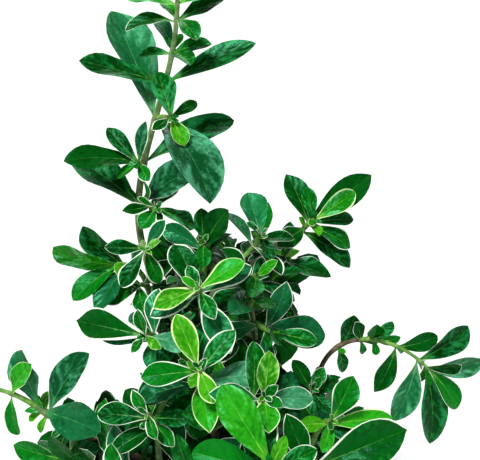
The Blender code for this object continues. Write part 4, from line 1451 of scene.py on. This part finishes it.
class Blade:
    """A leaf's true surface: cupped and rippled, with a pale margin and a midrib."""

    def __init__(self, leaf):
        tip = leaf.middle(1.0)
        dice = random.Random(f"{tip.x:.2f}, {tip.y:.2f}")
        self.leaf = leaf
        self.cup = dice.uniform(*BLADE_CUP)
        self.ripple = dice.uniform(-BLADE_RIPPLE, BLADE_RIPPLE)
        self.phase = dice.uniform(0, math.tau)
        self.twist = math.radians(dice.uniform(-BLADE_TWIST, BLADE_TWIST))
        self.widest = dice.uniform(*BLADE_WIDEST)
        self.tapering = dice.uniform(*BLADE_POINT)
        self.number = dice.random()

    def half_width(self, s):
        rise = (s / self.widest) ** LEAF_BASE
        fall = ((1 - s) / (1 - self.widest)) ** self.tapering
        return self.leaf.half * rise * fall + STALK_RADIUS * (1 - s) ** 3

    def point(self, s, u, lift):
        """A point of the blade, u running from -1 to 1 across it."""
        half = self.half_width(s)
        sideways, normal = self.leaf.frame(s)
        turn = Quaternion(normal.cross(sideways), self.twist * s)
        sideways, normal = turn @ sideways, turn @ normal
        rise = self.cup * half * abs(u) ** BLADE_CREASE
        rise += self.ripple * half * u * abs(u) * math.sin(math.tau * 1.6 * s + self.phase)
        return self.leaf.middle(s) + sideways * (half * u) + normal * (rise + lift)

    def margin(self, s):
        """Where the green ends and the pale margin begins, or where a plain edge thins out."""
        width = MARGIN_WIDTH * (self.leaf.rim if self.leaf.rim > PLAIN_RIM else 1)
        width *= 1 + 0.5 * math.sin(math.tau * 1.3 * s + 2 * self.phase)
        return 1 - min(width / max(self.half_width(s), 0.01), 0.55)

    def rib(self, s):
        width = RIB_WIDTH * (1 - s / RIB_END) if s < RIB_END else 0.0
        return min(max(width, RIB_LEAST) / max(self.half_width(s), 0.01), 0.4)

    def lay(self, soup):
        """Adds the leaf as one skin: its upper face with the midrib, and the underside with its keel."""
        fine = self.leaf.fine
        ribbed = fine or self.leaf.length > SMALL_LEAF
        rings = []
        thick = BLADE_THICKNESS / 2
        for s in FINE_STATIONS if fine else STATIONS if ribbed else SMALL_STATIONS:
            edge = self.margin(s)
            middle = (edge * 0.55,) if fine else ()
            half = (self.rib(s), *middle, edge) if ribbed else (edge,)
            across_top = [-1.0, *(-u for u in reversed(half)), *([] if ribbed else [0.0]), *half, 1.0]
            across_under = (edge, *middle, 0.0, *(-u for u in middle), -edge)
            top = [self.point(s, u, thick * (1 - u * u)) for u in across_top]
            keel = RIB_RELIEF * (1 - s) if ribbed else 0.0
            under = [self.point(s, u, -thick * (1 - u * u) - (0 if u else keel)) for u in across_under]
            rings.append(top + under)
            soup.places += [(u, s, self.number) for u in (*across_top, *across_under)]
        rim = MARGIN if self.leaf.rim > PLAIN_RIM else FACE
        side = (FACE, FACE) if fine else (FACE,)
        upper = (*side, RIB, *side) if ribbed else (FACE, FACE)
        under = (UNDER,) * (4 if fine else 2)
        soup.skin(rings, (rim, *upper, rim, rim, *under, rim))


def rings_along(path, start, end, radius_at, sides, steps, level=0.0):
    """Rings of points square to a path, or level at its foot up to a share of the way."""
    rings = []
    first, _ = across(path.way(start))
    for step in range(steps + 1):
        share = step / steps
        t = start + (end - start) * share
        way = path.way(t)
        if share < level:
            way = Vector((0, 0, 1)).lerp(way, share / level).normalized()
        first = (first - way * first.dot(way)).normalized()
        second = way.cross(first)
        ring = []
        for side in range(sides):
            angle = math.tau * side / sides
            out = first * math.cos(angle) + second * math.sin(angle)
            ring.append(path.point(t) + out * radius_at(t, angle))
        rings.append(ring)
    return rings


def bark_relief(path, t, angle, radius, depth):
    """How far the bark stands out: ridges that run along the limb and break off."""
    around = Vector((math.cos(angle), math.sin(angle), 0)) * radius * 1.1
    along = Vector((0, 0, t * path.length * 0.24)) + path.corners[3] * 0.37
    return depth * (noise.noise(around + along) + 0.5 * noise.noise((around + along) * 2.7))


def make_bark(trunk, boughs, material):
    soup = Soup()

    def trunk_surface(t, angle):
        plain = trunk_radius(t, angle)
        return plain + bark_relief(trunk, t, angle, plain, TRUNK_RELIEF)

    sides = TRUNK_FACETS
    soup.skin(rings_along(trunk, 0, 1, trunk_surface, sides, TRUNK_RINGS, LEVEL_FOOT), [0] * sides)
    for path, start, bough in boughs:
        begin = max(start - COLLAR / path.length, 0)

        def bough_surface(t, angle, path=path, bough=bough, start=start):
            plain = bough.radius + (BOUGH_TIP_RADIUS - bough.radius) * t
            swell = 1 + COLLAR_SWELL * math.exp(-max(t - start, 0) * path.length / COLLAR)
            return plain * swell + bark_relief(path, t, angle, plain, BOUGH_RELIEF)

        rings = rings_along(path, begin, 1, bough_surface, BOUGH_FACETS, BOUGH_RINGS)
        soup.skin(rings, [0] * BOUGH_FACETS)
    return soup.piece("bark", [material], sharp=BARK_SHARP_EDGE)


def make_shoots(twigs, materials):
    """Each twig as one skin, brown at its foot, then olive and, towards its tip, green."""
    soup = Soup()
    for group in twigs.values():
        for twig in group:
            stem = twig is group[0]
            foot = (STEM_RADIUS if stem else TWIG_RADIUS) * twig.shoot.girth
            tip = TWIG_TIP_RADIUS * twig.shoot.girth
            wood = twig.shoot.wood or (STEM_WOOD if stem else TWIG_WOOD)
            nodes = twig.nodes()
            length = twig.path.length

            def surface(t, angle, nodes=nodes, length=length, foot=foot, tip=tip):
                plain = foot + (tip - foot) * max(t, 0) ** 2
                swell = sum(math.exp(-(((t - at) * length / NODE_LENGTH) ** 2)) for at in nodes)
                return plain * (1 + NODE_SWELL * min(swell, 1))

            steps = max(3, round(length / TWIG_RING_GAP))
            begin = -TWIG_ROOT / length
            rings = rings_along(twig.path, begin, 1, surface, TWIG_FACETS, steps)

            def slots(row, wood=wood, steps=steps):
                share = (row + 0.5) / steps
                return [sum(share > mark for mark in wood)] * TWIG_FACETS

            soup.skin(rings, slots)
    return soup.piece("twigs", [materials[name] for name in ("brown twig", "olive twig", "green twig")])


def make_bristles(twigs, material):
    """The slender stipules that stand at each pair of leaves."""
    soup = Soup()
    dice = random.Random(41)
    for group in twigs.values():
        for twig in group:
            for at in twig.nodes():
                way = twig.path.way(at)
                first, second = across(way)
                for _ in range(BRISTLES):
                    angle = dice.uniform(0, math.tau)
                    out = first * math.cos(angle) + second * math.sin(angle)
                    root = twig.spot(at) + out * TWIG_TIP_RADIUS * 0.8
                    rise = (way + out * dice.uniform(0.3, 0.8)).normalized() * dice.uniform(*BRISTLE)
                    side = way.cross(out) * BRISTLE_RADIUS
                    rings = [
                        [root + rise * share + side * thin, root + rise * share - side * thin,
                         root + rise * share - out * (BRISTLE_RADIUS * thin)]
                        for share, thin in ((0, 1), (1, 0.15))
                    ]
                    soup.skin(rings, (0, 0, 0))
    return soup.piece("bristles", [material])


def make_leaves(twigs, small, materials):
    """One joined mesh for each green, and another for each part of the plant past its most faces."""
    soups = {tone: [Soup()] for tone in TONES}
    for leaf in [leaf for group in twigs.values() for twig in group for leaf in twig.leaves] + small:
        if len(soups[leaf.tone][-1].faces) > PIECE_FACES:
            soups[leaf.tone].append(Soup())
        Blade(leaf).lay(soups[leaf.tone][-1])
    made = []
    for tone, pieces in soups.items():
        rim = materials["young margin" if tone in YOUNG else "cream margin"]
        face, under, rib = (materials[f"{tone} {side}"] for side in ("face", "underside", "midrib"))
        for number, soup in enumerate(pieces, 1):
            made.append(soup.piece(f"{tone}_leaves_{number}", (face, under, rim, rib)))
    return made


def new_material(name, colour, roughness, specular=0.3, tint=(1, 1, 1)):
    material = bpy.data.materials.new(name)
    material.use_nodes = True
    shader = material.node_tree.nodes["Principled BSDF"]
    shader.inputs["Specular Tint"].default_value = (*tint, 1)
    shader.inputs["Base Color"].default_value = (*colour, 1)
    shader.inputs["Roughness"].default_value = roughness
    shader.inputs["Specular IOR Level"].default_value = specular
    return material, shader


def new_group(name, inputs, outputs):
    group = bpy.data.node_groups.new(name, "ShaderNodeTree")
    for label, kind in inputs:
        group.interface.new_socket(label, in_out="INPUT", socket_type="NodeSocket" + kind)
    for label, kind in outputs:
        group.interface.new_socket(label, in_out="OUTPUT", socket_type="NodeSocket" + kind)
    return group, group.nodes.new("NodeGroupInput"), group.nodes.new("NodeGroupOutput")


def add_noise(tree, scale, detail, roughness=0.55, place=None):
    """A noise over the object's own millimetres, or over another place."""
    place = place or tree.nodes.new("ShaderNodeTexCoord").outputs["Object"]
    cloud = tree.nodes.new("ShaderNodeTexNoise")
    cloud.inputs["Scale"].default_value = scale
    cloud.inputs["Detail"].default_value = detail
    cloud.inputs["Roughness"].default_value = roughness
    tree.links.new(place, cloud.inputs["Vector"])
    return cloud.outputs["Fac"]


def add_step(tree, value, low, high):
    ramp = tree.nodes.new("ShaderNodeMapRange")
    ramp.interpolation_type = "SMOOTHSTEP"
    ramp.inputs["From Min"].default_value = low
    ramp.inputs["From Max"].default_value = high
    tree.links.new(value, ramp.inputs["Value"])
    return ramp.outputs["Result"]


def add_mix(tree, factor, first, second):
    mix = tree.nodes.new("ShaderNodeMix")
    mix.data_type = "RGBA"
    tree.links.new(factor, mix.inputs["Factor"])
    for source, socket in ((first, mix.inputs["A"]), (second, mix.inputs["B"])):
        if isinstance(source, tuple):
            socket.default_value = (*source, 1)
        else:
            tree.links.new(source, socket)
    return mix.outputs["Result"]


def add_math(tree, operation, value, *others):
    step = tree.nodes.new("ShaderNodeMath")
    step.operation = operation
    tree.links.new(value, step.inputs[0])
    for socket, other in zip(step.inputs[1:], others):
        if isinstance(other, (int, float)):
            socket.default_value = other
        else:
            tree.links.new(other, socket)
    return step.outputs["Value"]


def add_veins(tree, across_leaf, along, cloud):
    """Waves that run out and forward from the midrib, as the side veins do."""
    slant = add_math(tree, "MULTIPLY", add_math(tree, "ABSOLUTE", across_leaf), -VEIN_SLANT)
    phase = add_math(tree, "MULTIPLY_ADD", along, math.tau * VEINS, slant)
    return add_math(tree, "SINE", add_math(tree, "MULTIPLY_ADD", cloud, 3.0, phase))


def add_streaks(tree, across_leaf, along, number):
    """A noise drawn out along the side veins, and different on each leaf."""
    place = tree.nodes.new("ShaderNodeCombineXYZ")
    slant = add_math(tree, "MULTIPLY", add_math(tree, "ABSOLUTE", across_leaf), -STREAK_SLANT)
    for value, socket in (
        (add_math(tree, "MULTIPLY_ADD", along, STREAKS, slant), "X"),
        (add_math(tree, "MULTIPLY", across_leaf, STREAKS_ACROSS), "Y"),
        (add_math(tree, "MULTIPLY", number, 90.0), "Z"),
    ):
        tree.links.new(value, place.inputs[socket])
    return add_noise(tree, 1.0, 3, place=place.outputs["Vector"])


def leaf_skin_group():
    """Patches of a second green, the palest patches as painted highlights, side veins, a pale base, uneven
    gloss and a puckered relief.
    """
    group, given, result = new_group(
        "leaf skin",
        (("Green", "Color"), ("Patches", "Color"), ("Painted highlight", "Color"), ("Base", "Color"), ("Dull", "Float")),
        (("Colour", "Color"), ("Roughness", "Float"), ("Height", "Float")),
    )
    place = group.nodes.new("ShaderNodeAttribute")
    place.attribute_name = PLACE
    parts = group.nodes.new("ShaderNodeSeparateXYZ")
    group.links.new(place.outputs["Vector"], parts.inputs["Vector"])
    broad = add_noise(group, 420, 2)
    fine = add_noise(group, 1300, 3)
    veins = add_veins(group, parts.outputs["X"], parts.outputs["Y"], broad)
    streaks = add_streaks(group, parts.outputs["X"], parts.outputs["Y"], parts.outputs["Z"])
    own = add_math(group, "MULTIPLY_ADD", parts.outputs["Z"], 0.26, -0.21)
    spread = add_math(group, "MULTIPLY_ADD", fine, 0.45, add_math(group, "MULTIPLY_ADD", streaks, 0.75, own))
    spread = add_math(group, "MULTIPLY_ADD", veins, 0.03, spread)
    patches = add_step(group, spread, 0.32, 0.74)
    colour = add_mix(group, patches, given.outputs["Green"], given.outputs["Patches"])
    # painted highlight: the palest patches, likelier at a leaf's edges, stand in for its sheen
    highlight_paint = add_math(group, "MULTIPLY_ADD", veins, 0.04, 0.16)
    highlight_paint = add_math(group, "MULTIPLY_ADD", parts.outputs["Z"], -0.3, highlight_paint)
    outer = add_math(group, "MULTIPLY", parts.outputs["X"], parts.outputs["X"])
    highlight_paint = add_math(group, "MULTIPLY_ADD", outer, EDGE_PAINTED_HIGHLIGHT, highlight_paint)
    highlight_paint = add_math(group, "MULTIPLY_ADD", streaks, 0.85, highlight_paint)
    highlight_paint = add_math(group, "MULTIPLY_ADD", fine, 0.35, highlight_paint)
    colour = add_mix(group, add_step(group, highlight_paint, 0.68, 1.02), colour, given.outputs["Painted highlight"])
    base = add_step(group, parts.outputs["Y"], 0.3, 0.02)
    colour = add_mix(group, add_math(group, "MULTIPLY", base, 0.6), colour, given.outputs["Base"])
    group.links.new(colour, result.inputs["Colour"])
    dull = add_math(group, "MULTIPLY_ADD", broad, 0.36, given.outputs["Dull"])
    group.links.new(dull, result.inputs["Roughness"])
    relief = add_math(group, "MULTIPLY_ADD", broad, 1.6, fine)
    group.links.new(add_math(group, "MULTIPLY_ADD", veins, 0.2, relief), result.inputs["Height"])
    return group


def leaf_material(name, skin, green, patches, painted_highlight, base, dull, specular):
    material, shader = new_material(name, green, dull, specular, LEAF_SHEEN)
    tree = material.node_tree
    face = tree.nodes.new("ShaderNodeGroup")
    face.node_tree = skin
    face.inputs["Green"].default_value = (*green, 1)
    face.inputs["Patches"].default_value = (*patches, 1)
    face.inputs["Painted highlight"].default_value = (*painted_highlight, 1)
    face.inputs["Base"].default_value = (*base, 1)
    face.inputs["Dull"].default_value = dull
    tree.links.new(face.outputs["Colour"], shader.inputs["Base Color"])
    tree.links.new(face.outputs["Roughness"], shader.inputs["Roughness"])
    add_bump(tree, shader, face.outputs["Height"], 0.6, LEAF_RELIEF)
    return material


def add_bump(tree, shader, height, strength, distance):
    bump = tree.nodes.new("ShaderNodeBump")
    bump.inputs["Strength"].default_value = strength
    bump.inputs["Distance"].default_value = distance
    tree.links.new(height, bump.inputs["Height"])
    tree.links.new(bump.outputs["Normal"], shader.inputs["Normal"])


def soft_material(name, colour, second, roughness, scale, depth):
    """A skin of two near colours in small patches, which stand out a little."""
    material, shader = new_material(name, colour, roughness)
    tree = material.node_tree
    cloud = add_noise(tree, scale, 4)
    patches = add_step(tree, cloud, 0.35, 0.65)
    tree.links.new(add_mix(tree, patches, colour, second), shader.inputs["Base Color"])
    add_bump(tree, shader, cloud, 0.6, depth)
    return material


def make_materials():
    skin = leaf_skin_group()
    made = {}
    for tone, (upper, patches, painted_highlight, under, rib) in TONES.items():
        dull, specular = LEAF_GLOSS[tone]
        made[tone + " face"] = leaf_material(tone + " face", skin, upper, patches, painted_highlight, rib, dull, specular)
        paler = tuple(channel * 1.3 for channel in under)
        name = tone + " underside"
        # the underside's painted highlights take the same paler green as its patches
        made[name] = leaf_material(name, skin, under, paler, paler, rib, 0.5, 0.05)
        made[tone + " midrib"] = soft_material(tone + " midrib", rib, patches, 0.45, 900, 0.00005)
    for name, (colour, second, roughness, scale, depth) in SKINS.items():
        made[name] = soft_material(name, colour, second, roughness, scale, depth)
    return made


def add_sun(name, aim, spread, strength, colour):
    data = bpy.data.lights.new(name, "SUN")
    data.angle = math.radians(spread)
    data.energy = strength
    data.color = colour
    sun = bpy.data.objects.new(name, data)
    sun.rotation_mode = "QUATERNION"
    sun.rotation_quaternion = Vector(aim).to_track_quat("-Z", "Y")
    bpy.context.scene.collection.objects.link(sun)


def set_stage():
    bpy.ops.object.select_all(action="DESELECT")
    bpy.ops.mesh.primitive_plane_add(size=FLOOR_SIZE, location=(0, 0, 0))
    floor = bpy.context.object
    floor.name = "floor"
    pale = soft_material("pale floor", (0.84, 0.84, 0.84), (0.86, 0.86, 0.86), 0.9, 3, 0.0001)
    floor.data.materials.append(pale)
    world = bpy.data.worlds.new("soft studio")
    bpy.context.scene.world = world
    world.use_nodes = True
    sky = world.node_tree.nodes["Background"]
    sky.inputs["Color"].default_value = (*SKY_COLOUR, 1)
    sky.inputs["Strength"].default_value = SKY_STRENGTH
    for name, (aim, spread, strength, colour) in LIGHTS.items():
        add_sun(name, aim, spread, strength, colour)


def set_camera():
    fall = math.radians(CAMERA_FALL)
    back = Vector((0, -math.cos(fall), math.sin(fall)))
    data = bpy.data.cameras.new("camera")
    data.lens = FOCAL_PIXELS / PHOTO_SIZE[0] * data.sensor_width
    data.clip_start = 0.01
    camera = bpy.data.objects.new("camera", data)
    camera.location = (Vector(CAMERA_TARGET) + back * CAMERA_DISTANCE) * METRES
    camera.rotation_euler = (math.pi / 2 - fall, 0, 0)
    bpy.context.scene.collection.objects.link(camera)
    bpy.context.scene.camera = camera


def main():
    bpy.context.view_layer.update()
    plant, limbs, twigs, trunk, boughs = grow()
    masses = list(twigs)
    grow_inner_shoots(plant, limbs, boughs, twigs)
    grow_filling(plant, twigs)
    grow_fine_twigs(plant, twigs)
    clear_openings(twigs)
    give_tones(twigs)
    small = grow_small_leaves(plant, twigs)
    materials = make_materials()
    bark = make_bark(trunk, boughs, materials["bark"])
    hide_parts(*limbs)
    for piece in (make_shoots(twigs, materials), make_bristles(twigs, materials["bristle"])):
        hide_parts(*masses)
    for piece in make_leaves(twigs, small, materials):
        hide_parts(*masses)
    set_stage()
    set_camera()
    bpy.context.scene.view_settings.view_transform = "Standard"


main()
